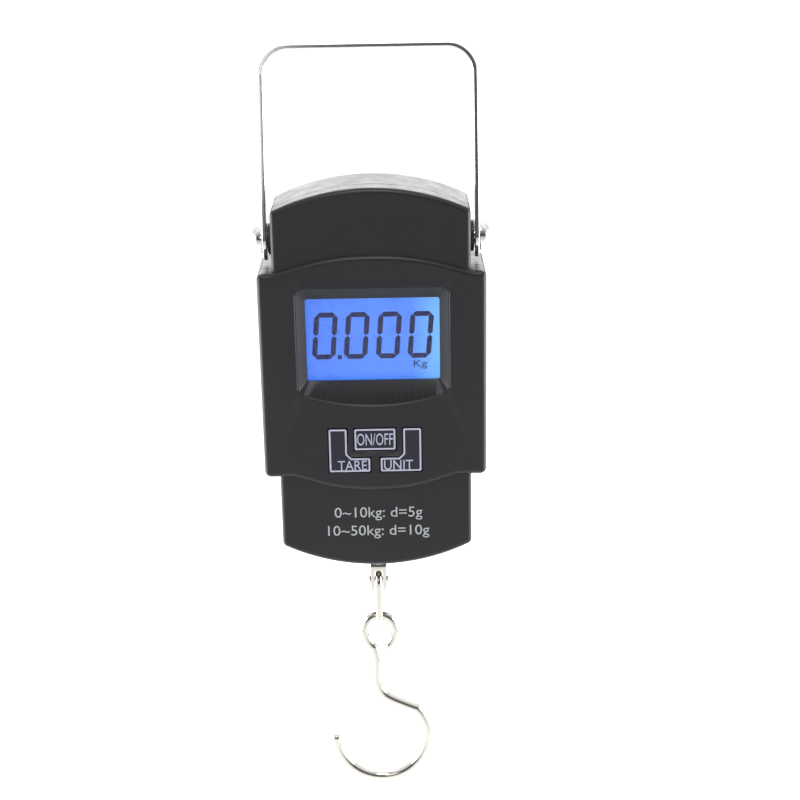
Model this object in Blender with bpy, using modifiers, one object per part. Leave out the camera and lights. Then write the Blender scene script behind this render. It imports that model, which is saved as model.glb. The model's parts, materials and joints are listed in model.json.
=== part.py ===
"""Digital hanging scale for anglers: a casing that swings in a bail handle, with a link and a hook below.

Metres, +X to the right seen from the front, -Y towards the reader, +Z up.
The origin is the middle of the underside of the handle's grip bar.
Pieces are modelled about four axes, each an empty: the handle's pivot (once for the handle, once for
the casing), the clevis pin and the lower bend of the link.
"""

import math

import bmesh
import bpy
from mathutils import Matrix

MM = 0.001

# Clearances
GAP = 0.3 * MM  # between pieces that lie on or in each other
WASHER_GAP = 0.2 * MM  # on either side of a pivot washer
OVER = 0.5 * MM  # how far a cutter stands out past what it cuts
THREAD_GAP = 0.2 * MM  # round a board screw

# Casing
CASE_WIDTH = 66.0 * MM  # across the wide middle band
SHOULDER = 4.4 * MM  # how far the band stands out past the sections above and below it
UPPER_HEIGHT = 24.3 * MM  # shoulder to crown
BAND_HEIGHT = 62.4 * MM  # shoulder to shoulder
LOWER_HEIGHT = 29.65 * MM  # shoulder to the lowest point
PIVOT_HEIGHT = 7.5 * MM  # pivot above the upper shoulder
FRONT_DEPTH = 13.2 * MM  # pivot plane to the band's front
BACK_DEPTH = 12.8 * MM  # pivot plane to the band's back
BAND_RISE = 1.2 * MM  # how far the band stands proud of the sections, front and back
CROWN_RADIUS = 65.3 * MM  # bow of the top edge
KEEL_RADIUS = 62.3 * MM  # bow of the bottom edge
WALL = 2.0 * MM
EDGE_RADIUS = 1.6 * MM
SEAM_FROM_PIVOT = 5.5 * MM  # parting line, in front of the pivot
ARCH_RISE = 5.1 * MM  # band's upper edge, middle above shoulder
ARCH_MARGIN = 3.6 * MM  # level stretch at each end of the upper arch
DIP_DROP = 4.7 * MM  # band's lower edge, middle below shoulder
DIP_MARGIN = 8.2 * MM  # level stretch at each end of the lower dip
ARCH_CROWN = 2.4  # how flat the arch is in the middle
ARCH_TAIL = 1.3  # how gently it runs out into the shoulders

# Display
WINDOW_WIDTH = 39.0 * MM
WINDOW_HEIGHT = 25.0 * MM
WINDOW_DROP = 8.2 * MM  # shoulder to the window's top edge
WINDOW_CORNER = 0.8 * MM
WINDOW_LIP = 0.1 * MM  # how far the wall behind the frame stands in
BEZEL_SIDE = 2.7 * MM  # width of the sloped frame at the sides
BEZEL_TOP = 4.0 * MM
BEZEL_BOTTOM = 3.7 * MM
BEZEL_SAG = 3.1 * MM  # extra depth of the frame's lower edge at its middle
BEZEL_CORNER = 2.4 * MM
BEZEL_DEPTH = 3.0 * MM
BEZEL_LIP = 0.9 * MM  # material behind the window's edge
BEZEL_WALL = 1.6 * MM  # material round the sloped frame
PANE_THICKNESS = 0.8 * MM
PANE_OVERLAP = 1.3 * MM
LCD_THICKNESS = 1.8 * MM
LCD_OVERLAP = 1.5 * MM
LCD_TERMINAL = 1.6 * MM  # extra glass below, over the contact strip
BACKLIGHT_THICKNESS = 1.0 * MM
STRIP_WIDTH = 36.0 * MM

# Keys: a flat upper key between two L-shaped ones
KEY_TOP_DROP = 47.2 * MM  # shoulder to the keys' top edge
KEY_WIDTH = 12.2 * MM
KEY_HEIGHT = 6.7 * MM  # upper key
SIDE_KEY_HEIGHT = 13.6 * MM
SIDE_KEY_UPRIGHT = 5.4 * MM
SIDE_KEY_FOOT = 4.4 * MM
SIDE_KEY_CHAMFER = 1.3 * MM
SIDE_KEY_SPACING = 3.0 * MM  # between the two feet
KEY_PROUD = 0.2 * MM
KEY_FLANGE = 0.6 * MM
KEY_FLANGE_THICKNESS = 0.8 * MM
KEY_STEM_RADIUS = 1.3 * MM
KEY_TRAVEL = 0.5 * MM
KEY_FREE_PLAY = 0.1 * MM  # left between stem and switch with the key down

# Electronics
BOARD_THICKNESS = 1.2 * MM
BOARD_MARGIN = 0.8 * MM  # board edge to the casing's inside
BOARD_TOP_DROP = 4.3 * MM  # shoulder to the board's top edge
BOARD_HEIGHT = 59.7 * MM
BOARD_SCREW_INSET = 2.1 * MM
BOARD_SCREW_RADIUS = 0.8 * MM
BOARD_SCREW_LENGTH = 4.6 * MM
BOARD_SCREW_HEAD = 1.5 * MM  # head radius
BOARD_HEAD_HEIGHT = 1.1 * MM
BOARD_POST_RADIUS = 1.9 * MM
SWITCH_SIZE = 3.6 * MM
SWITCH_HEIGHT = 1.2 * MM
PLUNGER_RADIUS = 1.0 * MM
PLUNGER_HEIGHT = 0.4 * MM
CHIP_SIZE = 8.0 * MM
CHIP_HEIGHT = 1.0 * MM
CHIP_DROP = 41.5 * MM  # shoulder to the chip's middle
LEAD_RADIUS = 0.45 * MM

# Load path
YOKE_HEIGHT = 8.0 * MM
YOKE_DEPTH = 6.0 * MM
YOKE_BOLT_RADIUS = 1.6 * MM
YOKE_BOLT_HEAD = 3.2 * MM  # hexagon's corner radius
YOKE_BOLT_HEAD_HEIGHT = 2.4 * MM
YOKE_BOLT_GRIP = 10.0 * MM  # thread inside the load cell
CELL_WIDTH = 20.0 * MM
CELL_HEIGHT = 38.0 * MM
CELL_DEPTH = 6.0 * MM
CELL_SLOT = 1.5 * MM
CELL_WEB = 4.0 * MM  # material left at a slot's end
CELL_CORE_RADIUS = 2.6 * MM  # hole in the middle of the cell
CELL_SLOT_SPREAD = 3.8 * MM  # core centre to a slot's middle
GAUGE_WIDTH = 5.6 * MM
GAUGE_HEIGHT = 4.0 * MM
GAUGE_THICKNESS = 0.5 * MM
STEM_RADIUS = 2.0 * MM
STEM_GRIP = 10.0 * MM  # thread inside the load cell
STEM_GUIDE_GAP = 0.6 * MM  # round the stem where it leaves the casing
NUT_FLATS = 6.0 * MM
NUT_HEIGHT = 2.4 * MM

# Pivot
PIVOT_SCREW_RADIUS = 2.0 * MM
PIVOT_HEAD_RADIUS = 4.2 * MM
PIVOT_HEAD_HEIGHT = 3.2 * MM
PIVOT_HEAD_SKIRT = 0.2  # upright part of the head, as a share of its height
PIVOT_DOME = 0.8  # how full the dome is, 1 being an ellipse
PIVOT_THREAD = 8.0 * MM  # thread inside the yoke
PIVOT_WASHER_RADIUS = 4.6 * MM
PIVOT_WASHER_THICKNESS = 1.1 * MM

# Handle
HANDLE_LENGTH = 55.0 * MM  # pivot to the top of the grip bar
HANDLE_WIDTH = 12.5 * MM  # width of the strip
HANDLE_THICKNESS = 1.25 * MM
HANDLE_CORNER = 8.8 * MM  # outside radius
HANDLE_LEAN = math.radians(13.0)  # at rest, back from the casing

# Batteries: two of size AAA
BATTERY_RADIUS = 5.25 * MM
BATTERY_LENGTH = 44.5 * MM
BATTERY_NUB_RADIUS = 1.9 * MM
BATTERY_NUB_HEIGHT = 0.8 * MM
SPRING_LENGTH = 3.4 * MM
SPRING_WIDE = 3.4 * MM
SPRING_NARROW = 2.3 * MM
SPRING_WIRE = 0.35 * MM
SPRING_TURNS = 3
CONTACT_THICKNESS = 0.5 * MM
CONTACT_WIDTH = 7.0 * MM
CONTACT_HEIGHT = 6.0 * MM
TRAY_WALL = 1.1 * MM
TRAY_TOP_DROP = 8.5 * MM  # shoulder to the tray's top
TRAY_LEAD_GAP = 2.1 * MM  # between board and tray, for the leads and screw heads
COVER_THICKNESS = 2.0 * MM
COVER_MARGIN = 0.1 * MM  # cover beyond the tray
COVER_RIBS = 4
COVER_RIB_HEIGHT = 0.3 * MM
COVER_RIB_HALF = 8.0 * MM  # half a rib's length
COVER_RIB_WIDTH = 0.8 * MM
COVER_RIB_PITCH = 2.0 * MM
COVER_RIB_START = 4.0 * MM  # lowest rib above the cover's lower edge

# Case screws
CASE_SCREW_RADIUS = 1.1 * MM
CASE_SCREW_HEAD = 2.3 * MM
CASE_HEAD_HEIGHT = 1.6 * MM
CASE_POST_WALL = 1.0 * MM
CASE_POST_INSET = 5.2 * MM  # lower posts in from the section's side
CASE_POST_RISE = 13.5 * MM  # lower posts above the lowest point
CASE_POST_DROP = 7.6 * MM  # upper posts below the crown
CASE_POST_SPREAD = 15.0 * MM  # upper posts from the middle
CASE_SCREW_BITE = 4.5 * MM  # thread inside the front shell
CASE_HEAD_SEAT = 5.5 * MM  # seat of the head, behind the pivot plane

# Clevis, link and hook
CLEVIS_HEIGHT = 10.4 * MM
CLEVIS_DEPTH = 5.0 * MM
CLEVIS_EAR = 1.1 * MM
CLEVIS_SLOT_GAP = 0.3 * MM  # on either side of the link
CLEVIS_PIN_RADIUS = 1.1 * MM
CLEVIS_PIN_RISE = 3.8 * MM  # pin above the clevis's lower end
CLEVIS_PIN_HEAD = 1.7 * MM
CLEVIS_PIN_HEAD_HEIGHT = 0.5 * MM
LINK_WIRE = 2.0 * MM
LINK_PLAY = 0.6 * MM  # beside the hook's wire
LINK_LENGTH = 17.6 * MM  # between the wire's centres
HOOK_WIRE = 3.0 * MM
EYE_INSIDE_WIDTH = 6.4 * MM
EYE_INSIDE_HEIGHT = 9.0 * MM
EYE_START = math.radians(-68)
EYE_END = math.radians(243)
NECK_OFFSET = 1.2 * MM  # shank to the left of the eye's middle
NECK_DROP = 10.0 * MM  # eye centre to the top of the straight shank
SHANK_DROP = 15.5 * MM  # eye centre to the foot of the straight shank
SHANK_BEND = (  # where the wire goes from there, to the right and down
    (0.2 * MM, 3.0 * MM),
    (1.0 * MM, 5.4 * MM),
    (2.8 * MM, 7.4 * MM),
    (6.4 * MM, 9.4 * MM),
)
BOWL_DROP = 37.4 * MM  # eye centre to the bowl's centre
BOWL_RADIUS = 14.8 * MM  # of the wire's centre line
BOWL_START = math.radians(42)
BOWL_END = math.radians(-184)

# Worked out from the sizes above, about the pivot
BAND_HALF = CASE_WIDTH / 2
SECTION_HALF = BAND_HALF - SHOULDER
UPPER_SHOULDER = -PIVOT_HEIGHT
LOWER_SHOULDER = UPPER_SHOULDER - BAND_HEIGHT
CROWN = UPPER_SHOULDER + UPPER_HEIGHT
KEEL = LOWER_SHOULDER - LOWER_HEIGHT
BAND_FRONT = -FRONT_DEPTH
SECTION_FRONT = BAND_FRONT + BAND_RISE
BAND_BACK = BACK_DEPTH
SECTION_BACK = BAND_BACK - BAND_RISE
SEAM = -SEAM_FROM_PIVOT
WINDOW_TOP = UPPER_SHOULDER - WINDOW_DROP
WINDOW_BOTTOM = WINDOW_TOP - WINDOW_HEIGHT
BEZEL_FLOOR = BAND_FRONT + BEZEL_DEPTH
BEZEL_BACK = BEZEL_FLOOR + BEZEL_LIP
PANE_FRONT = BEZEL_BACK + GAP
LCD_FRONT = PANE_FRONT + PANE_THICKNESS + GAP
BACKLIGHT_FRONT = LCD_FRONT + LCD_THICKNESS + GAP
BOARD_FRONT = BACKLIGHT_FRONT + BACKLIGHT_THICKNESS + GAP
BOARD_BACK = BOARD_FRONT + BOARD_THICKNESS
BOARD_HALF = SECTION_HALF - WALL - BOARD_MARGIN
BOARD_TOP = UPPER_SHOULDER - BOARD_TOP_DROP
BOARD_BOTTOM = BOARD_TOP - BOARD_HEIGHT
KEYS_TOP = UPPER_SHOULDER - KEY_TOP_DROP
CELL_TOP = -YOKE_HEIGHT / 2 - GAP
CELL_BOTTOM = CELL_TOP - CELL_HEIGHT
LEG_INSIDE = SECTION_HALF + PIVOT_WASHER_THICKNESS + 2 * WASHER_GAP
LEG_OUTSIDE = LEG_INSIDE + HANDLE_THICKNESS
BAR_UNDERSIDE = HANDLE_LENGTH - HANDLE_THICKNESS
PIVOT = (0.0, -BAR_UNDERSIDE * math.sin(HANDLE_LEAN), -BAR_UNDERSIDE * math.cos(HANDLE_LEAN))
TRAY_FRONT = BOARD_BACK + TRAY_LEAD_GAP
TRAY_BACK = BAND_BACK - COVER_THICKNESS - GAP
TRAY_TOP = UPPER_SHOULDER - TRAY_TOP_DROP
TRAY_POCKET = CONTACT_THICKNESS + BATTERY_LENGTH + SPRING_LENGTH + 4 * GAP
TRAY_BOTTOM = TRAY_TOP - TRAY_POCKET - 2 * TRAY_WALL
CHANNEL_HALF = CELL_WIDTH / 2 + 5 * GAP
CHANNEL_BACK = CELL_DEPTH / 2 + GAUGE_THICKNESS + 3 * GAP
BATTERY_Y = TRAY_FRONT + TRAY_WALL + GAP + BATTERY_RADIUS
BATTERY_X = CHANNEL_HALF + TRAY_WALL + GAP + BATTERY_RADIUS
TRAY_HALF = BATTERY_X + BATTERY_RADIUS + GAP + TRAY_WALL
NUT_TOP = KEEL - 2.5 * GAP
CLEVIS_TOP = NUT_TOP - NUT_HEIGHT - GAP
CLEVIS_BOTTOM = CLEVIS_TOP - CLEVIS_HEIGHT
PIN_Z = CLEVIS_BOTTOM + CLEVIS_PIN_RISE
SLOT_HALF = LINK_WIRE / 2 + CLEVIS_SLOT_GAP
LINK_TOP = CLEVIS_PIN_RADIUS + GAP + LINK_WIRE / 2  # above the pin
LINK_HALF = HOOK_WIRE / 2 + LINK_PLAY + LINK_WIRE / 2  # of the wire's centre line
LINK_FOOT = LINK_TOP - LINK_LENGTH  # about the pin
EYE_TOP = LINK_WIRE / 2 + GAP + HOOK_WIRE / 2  # wire's centre above the link's lower bend
EYE_HALF_WIDTH = (EYE_INSIDE_WIDTH + HOOK_WIRE) / 2
EYE_HALF_HEIGHT = (EYE_INSIDE_HEIGHT + HOOK_WIRE) / 2

# Finishes: colour, roughness, metallic
BLACK_PLASTIC = ((0.028, 0.030, 0.032), 0.42, 0.0)
DARK_PLASTIC = ((0.05, 0.05, 0.055), 0.5, 0.0)
KEY_PLASTIC = ((0.012, 0.012, 0.03), 0.35, 0.0)
CHROME = ((0.82, 0.82, 0.83), 0.12, 1.0)
NICKEL = ((0.78, 0.75, 0.68), 0.2, 1.0)
STEEL = ((0.6, 0.6, 0.6), 0.35, 1.0)
ALUMINIUM = ((0.75, 0.76, 0.78), 0.35, 1.0)
CLEAR = ((0.9, 0.92, 0.95), 0.05, 0.0)
BLUE_GLASS = ((0.08, 0.25, 0.9), 0.15, 0.0)
WHITE_PLASTIC = ((0.85, 0.85, 0.85), 0.5, 0.0)
CIRCUIT_GREEN = ((0.02, 0.16, 0.06), 0.5, 0.0)
BATTERY_WRAP = ((0.25, 0.26, 0.28), 0.35, 0.2)
GAUGE_FILM = ((0.6, 0.35, 0.08), 0.4, 0.0)
RED_LEAD = ((0.6, 0.02, 0.02), 0.5, 0.0)
BLACK_LEAD = ((0.02, 0.02, 0.02), 0.5, 0.0)

FACINGS = {
    "X": Matrix(((0, 0, 1), (1, 0, 0), (0, 1, 0))).to_4x4(),
    "Y": Matrix(((1, 0, 0), (0, 0, -1), (0, 1, 0))).to_4x4(),
    "Z": Matrix.Identity(4),
}

for old in list(bpy.data.objects):
    bpy.data.objects.remove(old)
parts = bpy.data.collections.new("digital_fish_scale")
cutters = bpy.data.collections.new("cutters")
bpy.context.scene.collection.children.link(parts)
bpy.context.scene.collection.children.link(cutters)


# Building blocks


def axis_empty(name, location, lean=0.0, parent=None):
    """An empty on a joint's axis, which the pieces of that body are parented to."""
    empty = bpy.data.objects.new(name, None)
    empty.empty_display_size = 10 * MM
    empty.location = location
    empty.rotation_euler.x = lean
    empty.parent = parent
    parts.objects.link(empty)
    return empty


def dress(piece, finish):
    """Gives a piece a material of its own."""
    colour, roughness, metallic = finish
    material = bpy.data.materials.new(f"{piece.name}_finish")
    material.use_nodes = True
    shader = material.node_tree.nodes["Principled BSDF"]
    shader.inputs["Base Color"].default_value = (*colour, 1.0)
    shader.inputs["Roughness"].default_value = roughness
    shader.inputs["Metallic"].default_value = metallic
    piece.data.materials.clear()
    piece.data.materials.append(material)


def add_piece(name, data, axis, finish, location=(0.0, 0.0, 0.0), rotation=(0.0, 0.0, 0.0)):
    """A named piece from a mesh or a curve, placed about its body's axis."""
    piece = bpy.data.objects.new(name, data)
    piece.location = location
    piece.rotation_euler = rotation
    piece.parent = axis
    parts.objects.link(piece)
    dress(piece, finish)
    return piece


def combine(piece, mesh, label, operation):
    """Adds a Boolean with a hidden tool that is placed like the piece."""
    tool = bpy.data.objects.new(f"{piece.name}_{label}", mesh)
    tool.location = piece.location
    tool.rotation_euler = piece.rotation_euler
    tool.parent = piece.parent
    tool.hide_render = True
    tool.display_type = "WIRE"
    cutters.objects.link(tool)
    step = piece.modifiers.new(label, "BOOLEAN")
    step.operation = operation
    step.object = tool


def cut(piece, mesh, label):
    """Takes a shape away from a piece."""
    combine(piece, mesh, label, "DIFFERENCE")


def join(piece, mesh, label):
    """Adds a shape to a piece."""
    combine(piece, mesh, label, "UNION")


def tidy(bm, mesh):
    """Welds a mesh, points it outwards and closes its editing copy."""
    bmesh.ops.remove_doubles(bm, verts=bm.verts, dist=0.001 * MM)
    bmesh.ops.recalc_face_normals(bm, faces=bm.faces)
    bm.to_mesh(mesh)
    bm.free()
    return mesh


def flat_shape(name, outline, low, high, facing="Y"):
    """A flat outline made solid from low to high along one axis.

    The outline's points are (x, z) for a shape facing Y, (y, z) for X and (x, y) for Z.
    """
    curve = bpy.data.curves.new(name, "CURVE")
    curve.dimensions = "2D"
    curve.fill_mode = "NONE"  # the ends are filled below, each as one whole face
    curve.extrude = (high - low) / 2
    spline = curve.splines.new("POLY")
    spline.points.add(len(outline) - 1)
    for point, (across, up) in zip(spline.points, outline):
        point.co = (across, up, 0.0, 1.0)
    spline.use_cyclic_u = True
    drawn = bpy.data.objects.new(name, curve)
    cutters.objects.link(drawn)
    graph = bpy.context.evaluated_depsgraph_get()
    mesh = bpy.data.meshes.new_from_object(drawn.evaluated_get(graph))
    bpy.data.objects.remove(drawn)
    mesh.name = name
    shift = {"X": ((low + high) / 2, 0, 0), "Y": (0, (low + high) / 2, 0), "Z": (0, 0, (low + high) / 2)}
    mesh.transform(Matrix.Translation(shift[facing]) @ FACINGS[facing])
    bm = bmesh.new()
    bm.from_mesh(mesh)
    bmesh.ops.remove_doubles(bm, verts=bm.verts, dist=0.001 * MM)
    bmesh.ops.holes_fill(bm, edges=bm.edges, sides=0)
    return tidy(bm, mesh)


def rounded(mesh, y, radius, segments=3):
    """Rounds the outline edges that lie in one plane of constant y."""
    bm = bmesh.new()
    bm.from_mesh(mesh)
    near = 0.01 * MM
    rim = [e for e in bm.edges if all(abs(v.co.y - y) < near for v in e.verts)]
    bmesh.ops.bevel(bm, geom=rim, offset=radius, segments=segments, profile=0.5, affect="EDGES")
    return tidy(bm, mesh)


def block(name, low, high):
    """A box between two corners."""
    bm = bmesh.new()
    bmesh.ops.create_cube(bm, size=1.0)
    for v in bm.verts:
        v.co = [(lo + hi) / 2 + c * (hi - lo) for c, lo, hi in zip(v.co, low, high)]
    mesh = bpy.data.meshes.new(name)
    return tidy(bm, mesh)


def rod(name, radius, low, high, axis="Z", centre=(0.0, 0.0), sides=24):
    """A cylinder from low to high along one axis; centre is (y, z), (x, z) or (x, y)."""
    bm = bmesh.new()
    bmesh.ops.create_cone(
        bm, cap_ends=True, segments=sides, radius1=radius, radius2=radius, depth=high - low
    )
    middle = (low + high) / 2
    place = {
        "X": Matrix.Translation((middle, *centre)),
        "Y": Matrix.Translation((centre[0], middle, centre[1])),
        "Z": Matrix.Translation((*centre, middle)),
    }
    bmesh.ops.transform(bm, matrix=place[axis] @ FACINGS[axis], verts=bm.verts)
    bmesh.ops.recalc_face_normals(bm, faces=bm.faces)
    mesh = bpy.data.meshes.new(name)
    bm.to_mesh(mesh)
    bm.free()
    return mesh


def loft(name, front_loop, front_y, back_loop, back_y):
    """A solid between two outlines with the same number of points, at two depths."""
    bm = bmesh.new()
    front = [bm.verts.new((x, front_y, z)) for x, z in front_loop]
    back = [bm.verts.new((x, back_y, z)) for x, z in back_loop]
    bm.faces.new(front)
    bm.faces.new(back)
    for i in range(len(front)):
        j = (i + 1) % len(front)
        bm.faces.new((front[i], front[j], back[j], back[i]))
    mesh = bpy.data.meshes.new(name)
    return tidy(bm, mesh)


def turned(name, profile, axis, finish, location=(0.0, 0.0, 0.0), rotation=(0.0, 0.0, 0.0), steps=24):
    """A lathe-turned piece; the profile is (radius, height) points from top to bottom."""
    mesh = bpy.data.meshes.new(name)
    points = [(radius, 0.0, height) for radius, height in profile]
    mesh.from_pydata(points, [(i, i + 1) for i in range(len(points) - 1)], [])
    piece = add_piece(name, mesh, axis, finish, location, rotation)
    spin = piece.modifiers.new("turn", "SCREW")
    spin.steps = steps
    spin.render_steps = steps
    spin.use_merge_vertices = True
    spin.merge_threshold = 0.01 * MM
    return piece


def wire(name, points, radius, axis, finish, closed=False, location=(0.0, 0.0, 0.0)):
    """A round wire along points."""
    curve = bpy.data.curves.new(name, "CURVE")
    curve.dimensions = "3D"
    curve.bevel_depth = radius
    curve.bevel_resolution = 2
    curve.use_fill_caps = not closed
    spline = curve.splines.new("POLY")
    spline.points.add(len(points) - 1)
    for point, place in zip(spline.points, points):
        point.co = (*place, 1.0)
    spline.use_cyclic_u = closed
    return add_piece(name, curve, axis, finish, location)


def smooth_path(anchors, steps):
    """Points on a smooth curve through the anchors (Catmull-Rom), ends included."""
    padded = [anchors[0], *anchors, anchors[-1]]
    path = []
    for spans in zip(padded, padded[1:], padded[2:], padded[3:]):
        for i in range(steps):
            t = i / steps
            point = []
            for a, b, c, d in zip(*spans):
                square = (2 * a - 5 * b + 4 * c - d) * t**2
                cube = (3 * b - a - 3 * c + d) * t**3
                point.append(0.5 * (2 * b + (c - a) * t + square + cube))
            path.append(tuple(point))
    return [*path, tuple(anchors[-1])]


# Outlines


def bow(half_width, apex, radius, upward, steps=12):
    """A circular edge from +half_width to -half_width; its middle is at apex."""
    sign = 1.0 if upward else -1.0
    points = []
    for i in range(steps + 1):
        x = half_width * (1 - 2 * i / steps)
        points.append((x, apex - sign * (radius - math.sqrt(radius**2 - x**2))))
    return points


def arch(half_span, level, rise, steps=14):
    """The band's curved edge from +half_span to -half_span, level at its ends."""
    points = []
    for i in range(steps + 1):
        x = half_span * math.cos(math.pi * i / steps)
        share = max(1 - abs(x / half_span) ** ARCH_CROWN, 0.0)
        points.append((x, level + rise * share**ARCH_TAIL))
    return points


def section_outline(inset=0.0):
    """The narrow casing outline, crown to keel, moved in by inset."""
    half = SECTION_HALF - inset
    top = bow(half, CROWN - inset, CROWN_RADIUS - inset, upward=True)
    bottom = bow(half, KEEL + inset, KEEL_RADIUS - inset, upward=False)
    return [*top, *reversed(bottom)]


def band_outline(inset=0.0):
    """The wide middle band, moved in by inset."""
    half = BAND_HALF - inset
    top = arch(BAND_HALF - ARCH_MARGIN - inset, UPPER_SHOULDER - inset, ARCH_RISE)
    bottom = arch(BAND_HALF - DIP_MARGIN - inset, LOWER_SHOULDER + inset, -DIP_DROP)
    return [
        (half, UPPER_SHOULDER - inset),
        *top,
        (-half, UPPER_SHOULDER - inset),
        (-half, LOWER_SHOULDER + inset),
        *reversed(bottom),
        (half, LOWER_SHOULDER + inset),
    ]


def window_outline(side, above, below, corner, sag, corner_steps=4, sag_steps=8):
    """The display opening grown by side, above and below, with a bowed lower edge."""
    half = WINDOW_WIDTH / 2 + side
    top = WINDOW_TOP + above
    bottom = WINDOW_BOTTOM - below
    points = []
    for cx, cz, start in (
        (half - corner, top - corner, 0.0),
        (corner - half, top - corner, math.pi / 2),
        (corner - half, bottom + corner, math.pi),
    ):
        for i in range(corner_steps + 1):
            angle = start + math.pi / 2 * i / corner_steps
            points.append((cx + corner * math.cos(angle), cz + corner * math.sin(angle)))
    for i in range(1, sag_steps):
        x = (corner - half) * (1 - 2 * i / sag_steps)
        points.append((x, bottom - sag * (1 - (x / (half - corner)) ** 2)))
    for i in range(corner_steps + 1):
        angle = 1.5 * math.pi + math.pi / 2 * i / corner_steps
        points.append((half - corner + corner * math.cos(angle), bottom + corner + corner * math.sin(angle)))
    return points


def upper_key_outline(grow):
    """The flat key's rectangle, grown all round."""
    half = KEY_WIDTH / 2 + grow
    top = KEYS_TOP + grow
    bottom = KEYS_TOP - KEY_HEIGHT - grow
    return [(half, top), (-half, top), (-half, bottom), (half, bottom)]


def side_key_outline(grow, side):
    """An L-shaped key, grown all round; side is -1 for the left key and 1 for the right one."""
    inner = SIDE_KEY_SPACING / 2 - grow
    outer = SIDE_KEY_SPACING / 2 + KEY_WIDTH + grow
    upright = SIDE_KEY_SPACING / 2 + KEY_WIDTH - SIDE_KEY_UPRIGHT - grow
    top = KEYS_TOP + grow
    bottom = KEYS_TOP - SIDE_KEY_HEIGHT - grow
    foot = KEYS_TOP - SIDE_KEY_HEIGHT + SIDE_KEY_FOOT + grow
    points = [
        (inner, bottom),
        (outer, bottom),
        (outer, top),
        (upright, top),
        (upright, foot + SIDE_KEY_CHAMFER),
        (upright - SIDE_KEY_CHAMFER, foot),
        (inner, foot),
    ]
    return [(side * x, z) for x, z in points]


def hexagon(flats):
    """A nut's outline with two flats facing front and back."""
    corner = flats / math.sqrt(3)
    angles = [math.radians(60 * i) for i in range(6)]
    return [(corner * math.cos(angle), corner * math.sin(angle)) for angle in angles]


# Casing


def case_posts():
    """(x, z) of the four casing screws, upper pair first."""
    upper = CROWN - CASE_POST_DROP
    lower = KEEL + CASE_POST_RISE
    low_x = SECTION_HALF - CASE_POST_INSET
    return [(-CASE_POST_SPREAD, upper), (CASE_POST_SPREAD, upper), (-low_x, lower), (low_x, lower)]


def board_posts():
    """(x, z) of the four board screws, upper pair first."""
    x = BOARD_HALF - BOARD_SCREW_INSET
    top = BOARD_TOP - BOARD_SCREW_INSET
    bottom = BOARD_BOTTOM + BOARD_SCREW_INSET
    return [(-x, top), (x, top), (-x, bottom), (x, bottom)]


def shell(name, casing, face, edge, band_face, inner, band_inner, clear_low, clear_high):
    """A moulded half casing: section and band joined, hollowed, and trimmed at the seam."""
    beyond = 2 * MM
    inward = math.copysign(1.0, edge - face)
    ends = sorted((face, edge + inward * beyond))
    body = flat_shape(f"{name}_body", section_outline(), *ends)
    piece = add_piece(name, rounded(body, face, EDGE_RADIUS), casing, BLACK_PLASTIC)
    ends = sorted((band_face, edge + inward * 1.5 * beyond))
    band = flat_shape(f"{name}_band", band_outline(), *ends)
    join(piece, rounded(band, band_face, EDGE_RADIUS), "band")
    ends = sorted((inner, edge + inward * 2 * beyond))
    cut(piece, flat_shape(f"{name}_hollow", section_outline(WALL), *ends), "hollow")
    ends = sorted((band_inner, edge + inward * 2.5 * beyond))
    cut(piece, flat_shape(f"{name}_band_hollow", band_outline(WALL), *ends), "band_hollow")
    trim = block(
        f"{name}_trim",
        (-CASE_WIDTH, clear_low, KEEL - beyond),
        (CASE_WIDTH, clear_high, CROWN + beyond),
    )
    cut(piece, trim, "trim")
    return piece


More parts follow.
